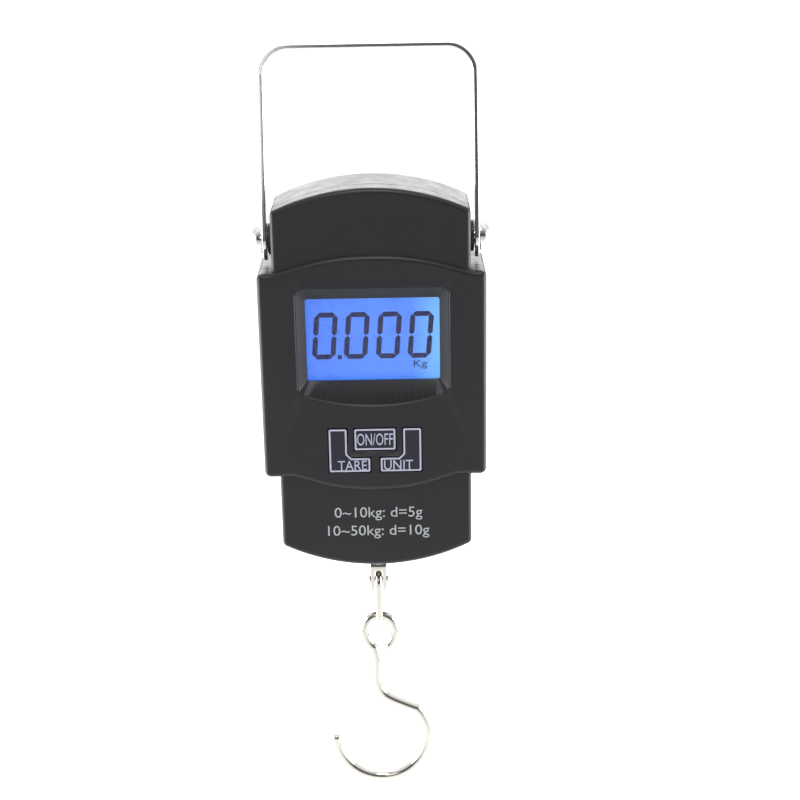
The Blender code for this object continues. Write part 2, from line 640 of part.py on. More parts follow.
def front_shell(casing):
    """The front half, with the display frame, key holes and screw posts."""
    rim = SEAM - GAP / 2
    piece = shell(
        "front_shell",
        casing,
        SECTION_FRONT,
        SEAM,
        BAND_FRONT,
        SECTION_FRONT + WALL,
        BAND_FRONT + WALL,
        rim,
        SEAM + 20 * MM,
    )
    root = BAND_FRONT + WALL / 2
    frame_half = WINDOW_WIDTH / 2 + BEZEL_SIDE + BEZEL_WALL
    frame = block(
        "display_frame",
        (-frame_half, root, WINDOW_BOTTOM - BEZEL_BOTTOM - BEZEL_SAG - BEZEL_WALL),
        (frame_half, BEZEL_BACK, WINDOW_TOP + BEZEL_TOP + BEZEL_WALL / 2),
    )
    join(piece, frame, "display_frame")
    steep = 1 + OVER / BEZEL_DEPTH
    outer = window_outline(
        BEZEL_SIDE * steep, BEZEL_TOP * steep, BEZEL_BOTTOM * steep, BEZEL_CORNER, BEZEL_SAG * steep
    )
    inner = window_outline(0.0, 0.0, 0.0, WINDOW_CORNER, 0.0)
    cut(piece, loft("display_slope", outer, BAND_FRONT - OVER, inner, BEZEL_FLOOR), "display_slope")
    sight = window_outline(-WINDOW_LIP, -WINDOW_LIP, -WINDOW_LIP, WINDOW_CORNER, 0.0)
    cut(piece, flat_shape("display_sight", sight, BEZEL_FLOOR - OVER, BEZEL_BACK + OVER), "display_sight")
    through = (BAND_FRONT - OVER, BAND_FRONT + WALL + OVER)
    cut(piece, flat_shape("on_off_hole", upper_key_outline(GAP), *through), "on_off_hole")
    cut(piece, flat_shape("tare_hole", side_key_outline(GAP, -1), *through), "tare_hole")
    cut(piece, flat_shape("unit_hole", side_key_outline(GAP, 1), *through), "unit_hole")
    section_root = SECTION_FRONT + WALL / 2
    post = CASE_SCREW_RADIUS + GAP + 1.5 * CASE_POST_WALL
    for i, place in enumerate(case_posts()):
        join(piece, rod(f"front_post_{i}", post, section_root, rim - GAP, "Y", place), f"post_{i}")
        hole = rod(
            f"front_hole_{i}",
            CASE_SCREW_RADIUS + GAP,
            rim - CASE_SCREW_BITE - GAP,
            rim + OVER,
            "Y",
            place,
            16,
        )
        cut(piece, hole, f"hole_{i}")
    for i, place in enumerate(board_posts()):
        tip = BOARD_FRONT - GAP
        join(piece, rod(f"board_post_{i}", BOARD_POST_RADIUS, root, tip, "Y", place, 16), f"board_post_{i}")
        hole = rod(
            f"board_hole_{i}",
            BOARD_SCREW_RADIUS + THREAD_GAP,
            BOARD_BACK + GAP - BOARD_SCREW_LENGTH - GAP,
            tip + OVER,
            "Y",
            place,
            12,
        )
        cut(piece, hole, f"board_hole_{i}")
    return piece


def rear_shell(casing):
    """The rear half, with the pivot holes, battery opening, stem hole and screw posts."""
    rim = SEAM + GAP / 2
    piece = shell(
        "rear_shell",
        casing,
        SECTION_BACK,
        SEAM,
        BAND_BACK,
        SECTION_BACK - WALL,
        BAND_BACK - WALL,
        SEAM - 20 * MM,
        rim,
    )
    opening_half = TRAY_HALF + COVER_MARGIN + GAP
    opening = block(
        "battery_opening",
        (-opening_half, SECTION_BACK - WALL - OVER, TRAY_BOTTOM - COVER_MARGIN - GAP),
        (opening_half, BAND_BACK + OVER, TRAY_TOP + COVER_MARGIN + GAP),
    )
    cut(piece, opening, "battery_opening")
    bore = rod("pivot_bore", PIVOT_SCREW_RADIUS + GAP, -SECTION_HALF - OVER, SECTION_HALF + OVER, "X")
    cut(piece, bore, "pivot_bore")
    guide = STEM_RADIUS + STEM_GUIDE_GAP
    cut(piece, rod("stem_hole", guide, KEEL - OVER, KEEL + WALL + OVER), "stem_hole")
    post = CASE_SCREW_HEAD + GAP + CASE_POST_WALL
    for i, place in enumerate(case_posts()):
        solid = rod(f"rear_post_{i}", post, rim + GAP, SECTION_BACK - WALL / 2, "Y", place)
        join(piece, solid, f"post_{i}")
        bore = rod(f"rear_hole_{i}", CASE_SCREW_RADIUS + GAP, rim - OVER, SECTION_BACK, "Y", place, 16)
        cut(piece, bore, f"hole_{i}")
        well = rod(f"head_well_{i}", CASE_SCREW_HEAD + GAP, CASE_HEAD_SEAT, BAND_BACK, "Y", place)
        cut(piece, well, f"head_well_{i}")
    return piece


def display(casing):
    """Window pane, glass, backlight and the rubber contact strip behind the frame."""
    stack = (
        ("display_window", CLEAR, PANE_OVERLAP, PANE_OVERLAP, PANE_FRONT, PANE_THICKNESS),
        ("lcd_glass", BLUE_GLASS, LCD_OVERLAP, LCD_OVERLAP + LCD_TERMINAL, LCD_FRONT, LCD_THICKNESS),
        ("lcd_backlight", WHITE_PLASTIC, LCD_OVERLAP / 2, 0.0, BACKLIGHT_FRONT, BACKLIGHT_THICKNESS),
    )
    for name, finish, beyond, below, front, thickness in stack:
        half = WINDOW_WIDTH / 2 + beyond
        low = (-half, front, WINDOW_BOTTOM - below)
        high = (half, front + thickness, WINDOW_TOP + beyond)
        add_piece(name, block(name, low, high), casing, finish)
    strip = block(
        "lcd_contact_strip",
        (-STRIP_WIDTH / 2, BACKLIGHT_FRONT, WINDOW_BOTTOM - LCD_OVERLAP - LCD_TERMINAL),
        (STRIP_WIDTH / 2, BACKLIGHT_FRONT + BACKLIGHT_THICKNESS, WINDOW_BOTTOM - LCD_OVERLAP),
    )
    add_piece("lcd_contact_strip", strip, casing, DARK_PLASTIC)


def key(name, axis, outline_of, stem_place):
    """A key: cap through the wall, flange behind it and a stem down to its switch."""
    back = BAND_FRONT + WALL + GAP
    cap = flat_shape(name, outline_of(0.0), BAND_FRONT - KEY_PROUD, back + KEY_FLANGE_THICKNESS / 2)
    piece = add_piece(name, cap, axis, KEY_PLASTIC)
    flange = flat_shape(f"{name}_flange", outline_of(KEY_FLANGE), back, back + KEY_FLANGE_THICKNESS)
    join(piece, flange, "flange")
    stem = rod(
        f"{name}_stem",
        KEY_STEM_RADIUS,
        back + KEY_FLANGE_THICKNESS / 2,
        switch_top() - KEY_TRAVEL - KEY_FREE_PLAY,
        "Y",
        stem_place,
        16,
    )
    join(piece, stem, "stem")


def switch_top():
    """Depth of the top of a switch's plunger."""
    return BOARD_FRONT - GAP - SWITCH_HEIGHT - PLUNGER_HEIGHT


def keys(casing):
    """The three keys, each on an axis of its own, and the switches under them."""
    foot_z = KEYS_TOP - SIDE_KEY_HEIGHT + SIDE_KEY_FOOT / 2
    foot_x = SIDE_KEY_SPACING / 2 + KEY_WIDTH / 2
    plans = (
        ("on_off", upper_key_outline, (0.0, KEYS_TOP - KEY_HEIGHT / 2)),
        ("tare", lambda grow: side_key_outline(grow, -1), (-foot_x, foot_z)),
        ("unit", lambda grow: side_key_outline(grow, 1), (foot_x, foot_z)),
    )
    for name, outline_of, place in plans:
        slide = axis_empty(f"key_{name}_axis", (0.0, 0.0, 0.0), parent=casing)
        key(f"key_{name}", slide, outline_of, place)
        x, z = place
        base = BOARD_FRONT - GAP
        half = SWITCH_SIZE / 2
        body = block(
            f"switch_{name}", (x - half, base - SWITCH_HEIGHT, z - half), (x + half, base, z + half)
        )
        piece = add_piece(f"switch_{name}", body, casing, STEEL)
        plunger = rod(
            f"plunger_{name}", PLUNGER_RADIUS, switch_top(), base - SWITCH_HEIGHT / 2, "Y", place, 16
        )
        join(piece, plunger, "plunger")


def electronics(casing):
    """Circuit board with its chip, screws and leads."""
    low = (-BOARD_HALF, BOARD_FRONT, BOARD_BOTTOM)
    high = (BOARD_HALF, BOARD_BACK, BOARD_TOP)
    board = add_piece("main_board", block("main_board", low, high), casing, CIRCUIT_GREEN)
    seat = BOARD_BACK + GAP
    head = BOARD_SCREW_HEAD
    shank = BOARD_SCREW_RADIUS
    profile = (
        (0.0, BOARD_HEAD_HEIGHT),
        (0.6 * head, BOARD_HEAD_HEIGHT),
        (head, 0.5 * BOARD_HEAD_HEIGHT),
        (head, 0.0),
        (shank, 0.0),
        (shank, -BOARD_SCREW_LENGTH + shank),
        (0.0, -BOARD_SCREW_LENGTH),
    )
    sides = ("top_left", "top_right", "bottom_left", "bottom_right")
    for side, (x, z) in zip(sides, board_posts()):
        hole = rod(f"board_{side}", shank + GAP, BOARD_FRONT - GAP, BOARD_BACK + GAP, "Y", (x, z), 12)
        cut(board, hole, f"hole_{side}")
        turned(f"board_screw_{side}", profile, casing, STEEL, (x, seat, z), (-math.pi / 2, 0, 0), 12)
    half = CHIP_SIZE / 2
    middle = UPPER_SHOULDER - CHIP_DROP
    base = BOARD_FRONT - GAP
    chip = block("controller_chip", (-half, base - CHIP_HEIGHT, middle - half), (half, base, middle + half))
    add_piece("controller_chip", chip, casing, DARK_PLASTIC)


def leads(casing):
    """The leads that lie between the board, the load cell and the battery tray."""
    y = (BOARD_BACK + TRAY_FRONT) / 2
    side = CELL_WIDTH / 2 + 2.5 * GAP
    cell_middle = CELL_TOP - CELL_HEIGHT / 2
    back = CELL_DEPTH / 2
    signal = (
        (side, back, cell_middle - 4 * MM),
        (side, 0.4 * back, cell_middle - 9 * MM),
        (side, y, cell_middle - 16 * MM),
        (side, y, cell_middle - 24 * MM),
    )
    wire("signal_lead", smooth_path(signal, 4), LEAD_RADIUS, casing, WHITE_PLASTIC)
    plans = (("power_lead_positive", RED_LEAD, 1), ("power_lead_negative", BLACK_LEAD, -1))
    for name, finish, sign in plans:
        route = (
            (sign * BATTERY_X, y, TRAY_TOP - 6 * MM),
            (sign * (BATTERY_X + 1.5 * MM), y, TRAY_TOP - 16 * MM),
            (sign * (BATTERY_X - 2 * MM), y, TRAY_TOP - 26 * MM),
            (sign * (BATTERY_X - 3 * MM), y, TRAY_TOP - 36 * MM),
        )
        wire(name, smooth_path(route, 4), LEAD_RADIUS, casing, finish)


def power(casing):
    """Battery tray, the two cells and their contacts."""
    low = (-TRAY_HALF, TRAY_FRONT, TRAY_BOTTOM)
    high = (TRAY_HALF, TRAY_BACK, TRAY_TOP)
    tray = add_piece("battery_tray", block("battery_tray", low, high), casing, DARK_PLASTIC)
    channel = block(
        "tray_channel",
        (-CHANNEL_HALF, TRAY_FRONT - OVER, TRAY_BOTTOM - OVER),
        (CHANNEL_HALF, CHANNEL_BACK, TRAY_TOP + OVER),
    )
    cut(tray, channel, "channel")
    shallow = block(
        "tray_shallow",
        (-CHANNEL_HALF - TRAY_WALL, CHANNEL_BACK + TRAY_WALL, TRAY_BOTTOM + TRAY_WALL),
        (CHANNEL_HALF + TRAY_WALL, TRAY_BACK + OVER, TRAY_TOP - TRAY_WALL),
    )
    cut(tray, shallow, "shallow")
    pocket_top = TRAY_TOP - TRAY_WALL
    pocket_bottom = TRAY_BOTTOM + TRAY_WALL
    for side, sign in (("left", -1), ("right", 1)):
        ends = sorted((sign * (CHANNEL_HALF + TRAY_WALL), sign * (TRAY_HALF - TRAY_WALL)))
        pocket = block(
            f"pocket_{side}",
            (ends[0], TRAY_FRONT + TRAY_WALL, pocket_bottom),
            (ends[1], TRAY_BACK + OVER, pocket_top),
        )
        cut(tray, pocket, f"pocket_{side}")
        battery_set(casing, side, sign, pocket_top, pocket_bottom)


def battery_set(casing, side, sign, pocket_top, pocket_bottom):
    """One cell with its contact plate and spring; the left cell stands nub up, the right one nub down."""
    up = -sign
    plate_end = pocket_top if up > 0 else pocket_bottom
    spring_end = pocket_bottom if up > 0 else pocket_top
    x = sign * BATTERY_X
    profile = (
        (0.0, BATTERY_LENGTH),
        (BATTERY_NUB_RADIUS, BATTERY_LENGTH),
        (BATTERY_NUB_RADIUS, BATTERY_LENGTH - BATTERY_NUB_HEIGHT),
        (BATTERY_RADIUS - 0.4 * MM, BATTERY_LENGTH - BATTERY_NUB_HEIGHT),
        (BATTERY_RADIUS, BATTERY_LENGTH - BATTERY_NUB_HEIGHT - 0.4 * MM),
        (BATTERY_RADIUS, 0.3 * MM),
        (BATTERY_RADIUS - 0.3 * MM, 0.0),
        (0.0, 0.0),
    )
    base = spring_end + up * (SPRING_LENGTH + 2 * GAP)
    turn = 0.0 if up > 0 else math.pi
    turned(f"battery_{side}", profile, casing, BATTERY_WRAP, (x, BATTERY_Y, base), (turn, 0, 0), 32)
    near = plate_end - up * GAP
    ends = sorted((near, near - up * CONTACT_THICKNESS))
    half_width = CONTACT_WIDTH / 2
    half_height = CONTACT_HEIGHT / 2
    plate = block(
        f"contact_{side}",
        (x - half_width, BATTERY_Y - half_height, ends[0]),
        (x + half_width, BATTERY_Y + half_height, ends[1]),
    )
    add_piece(f"contact_{side}", plate, casing, NICKEL)
    steps = 12 * SPRING_TURNS
    coil = []
    for i in range(steps + 1):
        share = i / steps
        angle = 2 * math.pi * SPRING_TURNS * share
        radius = SPRING_WIDE + (SPRING_NARROW - SPRING_WIDE) * share
        rise = SPRING_WIRE + GAP + (SPRING_LENGTH - 2 * SPRING_WIRE - GAP) * share
        coil.append((radius * math.cos(angle), radius * math.sin(angle), up * rise))
    wire(f"spring_{side}", coil, SPRING_WIRE, casing, NICKEL, location=(x, BATTERY_Y, spring_end))


def battery_cover(casing):
    """The cover plate, with grip ribs near its lower end."""
    slide = axis_empty("battery_cover_axis", (0.0, BAND_BACK, 0.0), parent=casing)
    half = TRAY_HALF + COVER_MARGIN
    low_z = TRAY_BOTTOM - COVER_MARGIN
    plate = block(
        "battery_cover", (-half, -COVER_THICKNESS, low_z), (half, -COVER_RIB_HEIGHT, TRAY_TOP + COVER_MARGIN)
    )
    piece = add_piece("battery_cover", plate, slide, BLACK_PLASTIC)
    for i in range(COVER_RIBS):
        z = low_z + COVER_RIB_START + i * COVER_RIB_PITCH
        low = (-COVER_RIB_HALF, -2 * COVER_RIB_HEIGHT, z)
        rib = block(f"cover_rib_{i}", low, (COVER_RIB_HALF, 0.0, z + COVER_RIB_WIDTH))
        join(piece, rib, f"rib_{i}")


def case_screws(casing):
    """The four screws that hold the shells together, driven in from the back."""
    length = CASE_HEAD_SEAT + GAP - (SEAM - CASE_SCREW_BITE)
    head = CASE_SCREW_HEAD
    shank = CASE_SCREW_RADIUS
    profile = (
        (0.0, CASE_HEAD_HEIGHT),
        (0.55 * head, CASE_HEAD_HEIGHT),
        (head, 0.45 * CASE_HEAD_HEIGHT),
        (head, 0.0),
        (shank, 0.0),
        (shank, -length + shank),
        (0.0, -length),
    )
    sides = ("top_left", "top_right", "bottom_left", "bottom_right")
    for side, (x, z) in zip(sides, case_posts()):
        seat = (x, CASE_HEAD_SEAT + GAP, z)
        turned(f"case_screw_{side}", profile, casing, STEEL, seat, (-math.pi / 2, 0, 0), 16)


# Load path


def load_path(casing):
    """Yoke between the pivots, load cell under it, and the stem with its clevis."""
    half = SECTION_HALF - WALL - 2 * GAP
    low = (-half, -YOKE_DEPTH / 2, -YOKE_HEIGHT / 2)
    high = (half, YOKE_DEPTH / 2, YOKE_HEIGHT / 2)
    yoke = add_piece("yoke", block("yoke", low, high), casing, STEEL)
    depth = half - PIVOT_THREAD - GAP
    for side, sign in (("left", -1), ("right", 1)):
        ends = sorted((sign * depth, sign * (half + OVER)))
        cut(yoke, rod(f"yoke_bore_{side}", PIVOT_SCREW_RADIUS + GAP, *ends, "X"), f"bore_{side}")
    clear = YOKE_BOLT_RADIUS + GAP
    cut(yoke, rod("yoke_bolt_hole", clear, low[2] - OVER, high[2] + OVER), "bolt_hole")
    seat = YOKE_HEIGHT / 2 + GAP
    head = flat_shape(
        "yoke_bolt", hexagon(YOKE_BOLT_HEAD * math.sqrt(3)), seat, seat + YOKE_BOLT_HEAD_HEIGHT, "Z"
    )
    bolt = add_piece("yoke_bolt", head, casing, STEEL)
    join(bolt, rod("bolt_shank", YOKE_BOLT_RADIUS, CELL_TOP - YOKE_BOLT_GRIP, seat + MM), "shank")
    low = (-CELL_WIDTH / 2, -CELL_DEPTH / 2, CELL_BOTTOM)
    high = (CELL_WIDTH / 2, CELL_DEPTH / 2, CELL_TOP)
    cell = add_piece("load_cell", block("load_cell", low, high), casing, ALUMINIUM)
    middle = (CELL_TOP + CELL_BOTTOM) / 2
    cut(cell, rod("cell_core", CELL_CORE_RADIUS, -CELL_DEPTH, CELL_DEPTH, "Y", (0.0, middle)), "core")
    for label, sign in (("upper_slot", 1), ("lower_slot", -1)):
        z = middle + sign * (CELL_SLOT_SPREAD + CELL_SLOT / 2)
        ends = sorted((-sign * CELL_WIDTH, sign * (CELL_WIDTH / 2 - CELL_WEB)))
        slot = block(
            f"cell_{label}",
            (ends[0], -CELL_DEPTH, z - CELL_SLOT / 2),
            (ends[1], CELL_DEPTH, z + CELL_SLOT / 2),
        )
        cut(cell, slot, label)
    cut(cell, rod("cell_top_hole", clear, CELL_TOP - YOKE_BOLT_GRIP - GAP, CELL_TOP + OVER), "top_hole")
    stem_clear = STEM_RADIUS + GAP
    stem_hole = rod("cell_stem_hole", stem_clear, CELL_BOTTOM - OVER, CELL_BOTTOM + STEM_GRIP + GAP)
    cut(cell, stem_hole, "stem_hole")
    for side, sign in (("left", -1), ("right", 1)):
        inner = CELL_CORE_RADIUS + 2 * GAP
        ends = sorted((sign * inner, sign * (inner + GAUGE_WIDTH)))
        front = CELL_DEPTH / 2 + GAP
        gauge = block(
            f"strain_gauge_{side}",
            (ends[0], front, middle - GAUGE_HEIGHT / 2),
            (ends[1], front + GAUGE_THICKNESS, middle + GAUGE_HEIGHT / 2),
        )
        add_piece(f"strain_gauge_{side}", gauge, casing, GAUGE_FILM)


def nut(name, casing, top):
    """A hexagon nut round the stem."""
    body = flat_shape(name, hexagon(NUT_FLATS), top - NUT_HEIGHT, top, "Z")
    piece = add_piece(name, body, casing, STEEL)
    hole = rod(f"{name}_hole", STEM_RADIUS + GAP, top - NUT_HEIGHT - MM, top + MM)
    cut(piece, hole, "hole")


def clevis(casing):
    """The stem with the fork at its lower end, its two nuts and the cross pin."""
    half = SLOT_HALF + CLEVIS_EAR
    low = (-half, -CLEVIS_DEPTH / 2, CLEVIS_BOTTOM)
    high = (half, CLEVIS_DEPTH / 2, CLEVIS_TOP)
    piece = add_piece("hook_clevis", block("hook_clevis", low, high), casing, NICKEL)
    join(piece, rod("stem", STEM_RADIUS, CLEVIS_TOP - MM, CELL_BOTTOM + STEM_GRIP), "stem")
    slot_top = PIN_Z + LINK_TOP + LINK_WIRE / 2 + 2 * GAP
    slot = block(
        "clevis_slot", (-SLOT_HALF, -CLEVIS_DEPTH, CLEVIS_BOTTOM - OVER), (SLOT_HALF, CLEVIS_DEPTH, slot_top)
    )
    cut(piece, slot, "slot")
    hole = rod("pin_hole", CLEVIS_PIN_RADIUS + GAP, -half - OVER, half + OVER, "X", (0.0, PIN_Z), 16)
    cut(piece, hole, "pin_hole")
    nut("stem_nut", casing, CELL_BOTTOM - GAP)
    nut("lock_nut", casing, NUT_TOP)
    head = half + GAP
    end = head + CLEVIS_PIN_HEAD_HEIGHT
    profile = (
        (0.0, end),
        (0.7 * CLEVIS_PIN_HEAD, end),
        (CLEVIS_PIN_HEAD, head + 0.4 * CLEVIS_PIN_HEAD_HEIGHT),
        (CLEVIS_PIN_HEAD, head),
        (CLEVIS_PIN_RADIUS, head),
        (CLEVIS_PIN_RADIUS, -head),
        (CLEVIS_PIN_HEAD, -head),
        (CLEVIS_PIN_HEAD, -head - 0.4 * CLEVIS_PIN_HEAD_HEIGHT),
        (0.7 * CLEVIS_PIN_HEAD, -end),
        (0.0, -end),
    )
    turned("clevis_pin", profile, casing, NICKEL, (0.0, 0.0, PIN_Z), (0, math.pi / 2, 0), 16)


def hook_link(axis):
    """The welded oval link that hangs from the clevis pin, in the plane that faces sideways."""
    top = LINK_TOP - LINK_HALF
    foot = LINK_FOOT + LINK_HALF
    steps = 12
    points = []
    for middle, start in ((top, 0.0), (foot, math.pi)):
        for i in range(steps + 1):
            angle = start + math.pi * i / steps
            points.append((0.0, LINK_HALF * math.cos(angle), middle + LINK_HALF * math.sin(angle)))
    wire("hook_link", points, LINK_WIRE / 2, axis, NICKEL, closed=True)


def hook(axis):
    """The bent wire hook: eye, shank and open bowl, in the plane that faces the front."""
    eye = EYE_TOP - EYE_HALF_HEIGHT
    steps = 20
    points = []
    for i in range(steps + 1):
        angle = EYE_START + (EYE_END - EYE_START) * i / steps
        points.append((EYE_HALF_WIDTH * math.cos(angle), eye + EYE_HALF_HEIGHT * math.sin(angle)))
    bowl = eye - BOWL_DROP
    bowl_start = (BOWL_RADIUS * math.cos(BOWL_START), bowl + BOWL_RADIUS * math.sin(BOWL_START))
    shank_foot = eye - SHANK_DROP
    neck = (
        points.pop(),
        (-NECK_OFFSET, eye - NECK_DROP),
        (-NECK_OFFSET, shank_foot),
        *((right - NECK_OFFSET, shank_foot - down) for right, down in SHANK_BEND),
        bowl_start,
    )
    points += smooth_path(neck, 4)
    steps = 26
    for i in range(1, steps + 1):
        angle = BOWL_START + (BOWL_END - BOWL_START) * i / steps
        points.append((BOWL_RADIUS * math.cos(angle), bowl + BOWL_RADIUS * math.sin(angle)))
    wire("hook", [(x, 0.0, z) for x, z in points], HOOK_WIRE / 2, axis, NICKEL)


# Handle and pivot


def handle_strap(axis):
    """The bail: a flat strip bent to a U, with round lower ends and a pivot hole in each."""
    foot = -HANDLE_WIDTH
    steps = 8
    outer = [(LEG_OUTSIDE, foot)]
    inner = [(LEG_INSIDE, foot)]
    for edge, half, top, radius in (
        (outer, LEG_OUTSIDE, HANDLE_LENGTH, HANDLE_CORNER),
        (inner, LEG_INSIDE, BAR_UNDERSIDE, HANDLE_CORNER - HANDLE_THICKNESS),
    ):
        for sign in (1, -1):
            for i in range(steps + 1):
                angle = math.pi / 2 * (i if sign > 0 else steps - i) / steps
                x = sign * (half - radius + radius * math.cos(angle))
                edge.append((x, top - radius + radius * math.sin(angle)))
        edge.append((-half, foot))
    outline = [*outer, *reversed(inner)]
    strip = flat_shape("handle_strap", outline, -HANDLE_WIDTH, HANDLE_WIDTH)
    piece = add_piece("handle_strap", strip, axis, CHROME)
    radius = HANDLE_WIDTH / 2
    reach = LEG_OUTSIDE + MM
    side_view = [(radius, HANDLE_LENGTH + MM), (-radius, HANDLE_LENGTH + MM)]
    for i in range(13):
        angle = math.pi + math.pi * i / 12
        side_view.append((radius * math.cos(angle), radius * math.sin(angle)))
    combine(piece, flat_shape("strip_width", side_view, -reach, reach, "X"), "strip_width", "INTERSECT")
    cut(piece, rod("strap_holes", PIVOT_SCREW_RADIUS + GAP, -reach, reach, "X"), "pivot_holes")


def pivot_hardware(casing):
    """Domed pivot screws, which turn with the casing, and a washer inside each handle leg."""
    end = SECTION_HALF - WALL - 2 * GAP - PIVOT_THREAD
    seat = LEG_OUTSIDE + WASHER_GAP
    length = seat - end
    profile = [(0.0, PIVOT_HEAD_HEIGHT)]
    for i in range(1, 5):
        angle = math.pi / 2 * i / 5
        out, up = math.sin(angle) ** PIVOT_DOME, math.cos(angle) ** PIVOT_DOME
        profile.append((PIVOT_HEAD_RADIUS * out, PIVOT_HEAD_HEIGHT * up))
    profile.append((PIVOT_HEAD_RADIUS, PIVOT_HEAD_SKIRT * PIVOT_HEAD_HEIGHT))
    profile += [
        (PIVOT_HEAD_RADIUS, 0.0),
        (PIVOT_SCREW_RADIUS, 0.0),
        (PIVOT_SCREW_RADIUS, -length + GAP),
        (PIVOT_SCREW_RADIUS - GAP, -length),
        (0.0, -length),
    ]
    for side, sign in (("left", -1), ("right", 1)):
        turn = (0.0, sign * math.pi / 2, 0.0)
        turned(f"pivot_screw_{side}", profile, casing, CHROME, (sign * seat, 0.0, 0.0), turn)
        near = SECTION_HALF + WASHER_GAP
        ends = sorted((sign * near, sign * (near + PIVOT_WASHER_THICKNESS)))
        body = rod(f"pivot_washer_{side}", PIVOT_WASHER_RADIUS, *ends, "X")
        washer = add_piece(f"pivot_washer_{side}", body, casing, DARK_PLASTIC)
        hole = rod(f"washer_hole_{side}", PIVOT_SCREW_RADIUS + GAP, ends[0] - MM, ends[1] + MM, "X")
        cut(washer, hole, "hole")


handle_axis = axis_empty("handle_axis", PIVOT, -HANDLE_LEAN)
casing_axis = axis_empty("casing_axis", PIVOT)
link_axis = axis_empty("link_axis", (0.0, 0.0, PIN_Z), parent=casing_axis)
hook_axis = axis_empty("hook_axis", (0.0, 0.0, LINK_FOOT), parent=link_axis)

handle_strap(handle_axis)
pivot_hardware(casing_axis)
front_shell(casing_axis)
rear_shell(casing_axis)
display(casing_axis)
keys(casing_axis)
electronics(casing_axis)
power(casing_axis)
leads(casing_axis)
battery_cover(casing_axis)
case_screws(casing_axis)
load_path(casing_axis)
clevis(casing_axis)
hook_link(link_axis)
hook(hook_axis)
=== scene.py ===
"""Looks of a digital hanging scale for anglers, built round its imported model.

Metres, +X to the right seen from the front, -Y towards the reader, +Z up, origin under the grip bar.
Most sizes are given about the handle's pivot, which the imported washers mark.
"""

import sys

import json
import logging
import math
from collections.abc import Callable, Sequence
from dataclasses import dataclass, replace
from enum import Enum
from pathlib import Path

import bpy
from mathutils import Matrix, Vector
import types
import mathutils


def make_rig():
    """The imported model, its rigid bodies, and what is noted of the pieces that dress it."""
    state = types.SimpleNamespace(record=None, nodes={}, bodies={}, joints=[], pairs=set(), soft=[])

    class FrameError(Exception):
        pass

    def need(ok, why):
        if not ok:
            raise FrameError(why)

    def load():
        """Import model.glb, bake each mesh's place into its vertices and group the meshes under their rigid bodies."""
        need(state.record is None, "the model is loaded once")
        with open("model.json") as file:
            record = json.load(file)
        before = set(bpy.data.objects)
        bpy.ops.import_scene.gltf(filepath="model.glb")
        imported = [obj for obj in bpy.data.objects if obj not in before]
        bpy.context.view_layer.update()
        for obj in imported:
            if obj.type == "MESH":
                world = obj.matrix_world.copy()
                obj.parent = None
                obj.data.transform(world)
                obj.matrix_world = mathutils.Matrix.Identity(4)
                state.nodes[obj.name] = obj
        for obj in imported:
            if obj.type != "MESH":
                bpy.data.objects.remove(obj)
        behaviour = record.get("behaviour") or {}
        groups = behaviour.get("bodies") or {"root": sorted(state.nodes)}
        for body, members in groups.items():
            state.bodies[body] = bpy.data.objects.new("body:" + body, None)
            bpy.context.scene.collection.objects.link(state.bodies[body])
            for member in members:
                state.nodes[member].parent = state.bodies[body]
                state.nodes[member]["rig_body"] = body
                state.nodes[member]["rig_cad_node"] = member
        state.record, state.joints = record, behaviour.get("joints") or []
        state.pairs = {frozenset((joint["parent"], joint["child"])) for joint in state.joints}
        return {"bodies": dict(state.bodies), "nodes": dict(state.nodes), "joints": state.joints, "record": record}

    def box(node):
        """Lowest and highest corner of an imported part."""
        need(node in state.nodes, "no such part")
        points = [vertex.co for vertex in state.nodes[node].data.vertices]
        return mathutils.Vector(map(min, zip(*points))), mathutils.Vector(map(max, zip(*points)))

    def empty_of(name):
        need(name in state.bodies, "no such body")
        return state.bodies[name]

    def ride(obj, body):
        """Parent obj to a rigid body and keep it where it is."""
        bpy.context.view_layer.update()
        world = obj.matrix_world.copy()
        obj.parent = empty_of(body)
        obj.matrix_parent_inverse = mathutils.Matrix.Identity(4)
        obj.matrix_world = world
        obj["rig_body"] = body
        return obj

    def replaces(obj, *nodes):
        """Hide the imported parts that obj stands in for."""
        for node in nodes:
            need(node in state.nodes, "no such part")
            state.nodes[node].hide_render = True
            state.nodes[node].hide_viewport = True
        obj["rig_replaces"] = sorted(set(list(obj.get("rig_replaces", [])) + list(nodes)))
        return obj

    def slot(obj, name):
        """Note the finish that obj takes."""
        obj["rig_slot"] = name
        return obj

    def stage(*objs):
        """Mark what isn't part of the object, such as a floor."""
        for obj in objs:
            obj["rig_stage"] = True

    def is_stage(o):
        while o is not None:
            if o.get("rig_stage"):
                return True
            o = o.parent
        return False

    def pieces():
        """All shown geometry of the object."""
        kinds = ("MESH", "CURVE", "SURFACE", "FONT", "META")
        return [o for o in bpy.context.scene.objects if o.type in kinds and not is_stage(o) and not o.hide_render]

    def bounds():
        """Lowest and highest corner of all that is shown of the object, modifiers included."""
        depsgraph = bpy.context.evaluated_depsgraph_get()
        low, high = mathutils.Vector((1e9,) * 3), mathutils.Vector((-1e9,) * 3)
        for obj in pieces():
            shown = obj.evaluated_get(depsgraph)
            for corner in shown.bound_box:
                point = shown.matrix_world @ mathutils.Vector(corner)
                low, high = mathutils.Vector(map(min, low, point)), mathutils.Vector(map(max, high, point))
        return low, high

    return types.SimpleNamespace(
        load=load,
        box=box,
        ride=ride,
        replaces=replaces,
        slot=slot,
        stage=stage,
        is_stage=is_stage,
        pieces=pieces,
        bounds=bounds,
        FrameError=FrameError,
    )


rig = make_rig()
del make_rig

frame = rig.load()
CAD_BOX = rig.bounds()

MM = 0.001
GAP = 0.3 * MM
SIZE_FILE = Path("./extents.json")
LOG = logging.getLogger("scale")

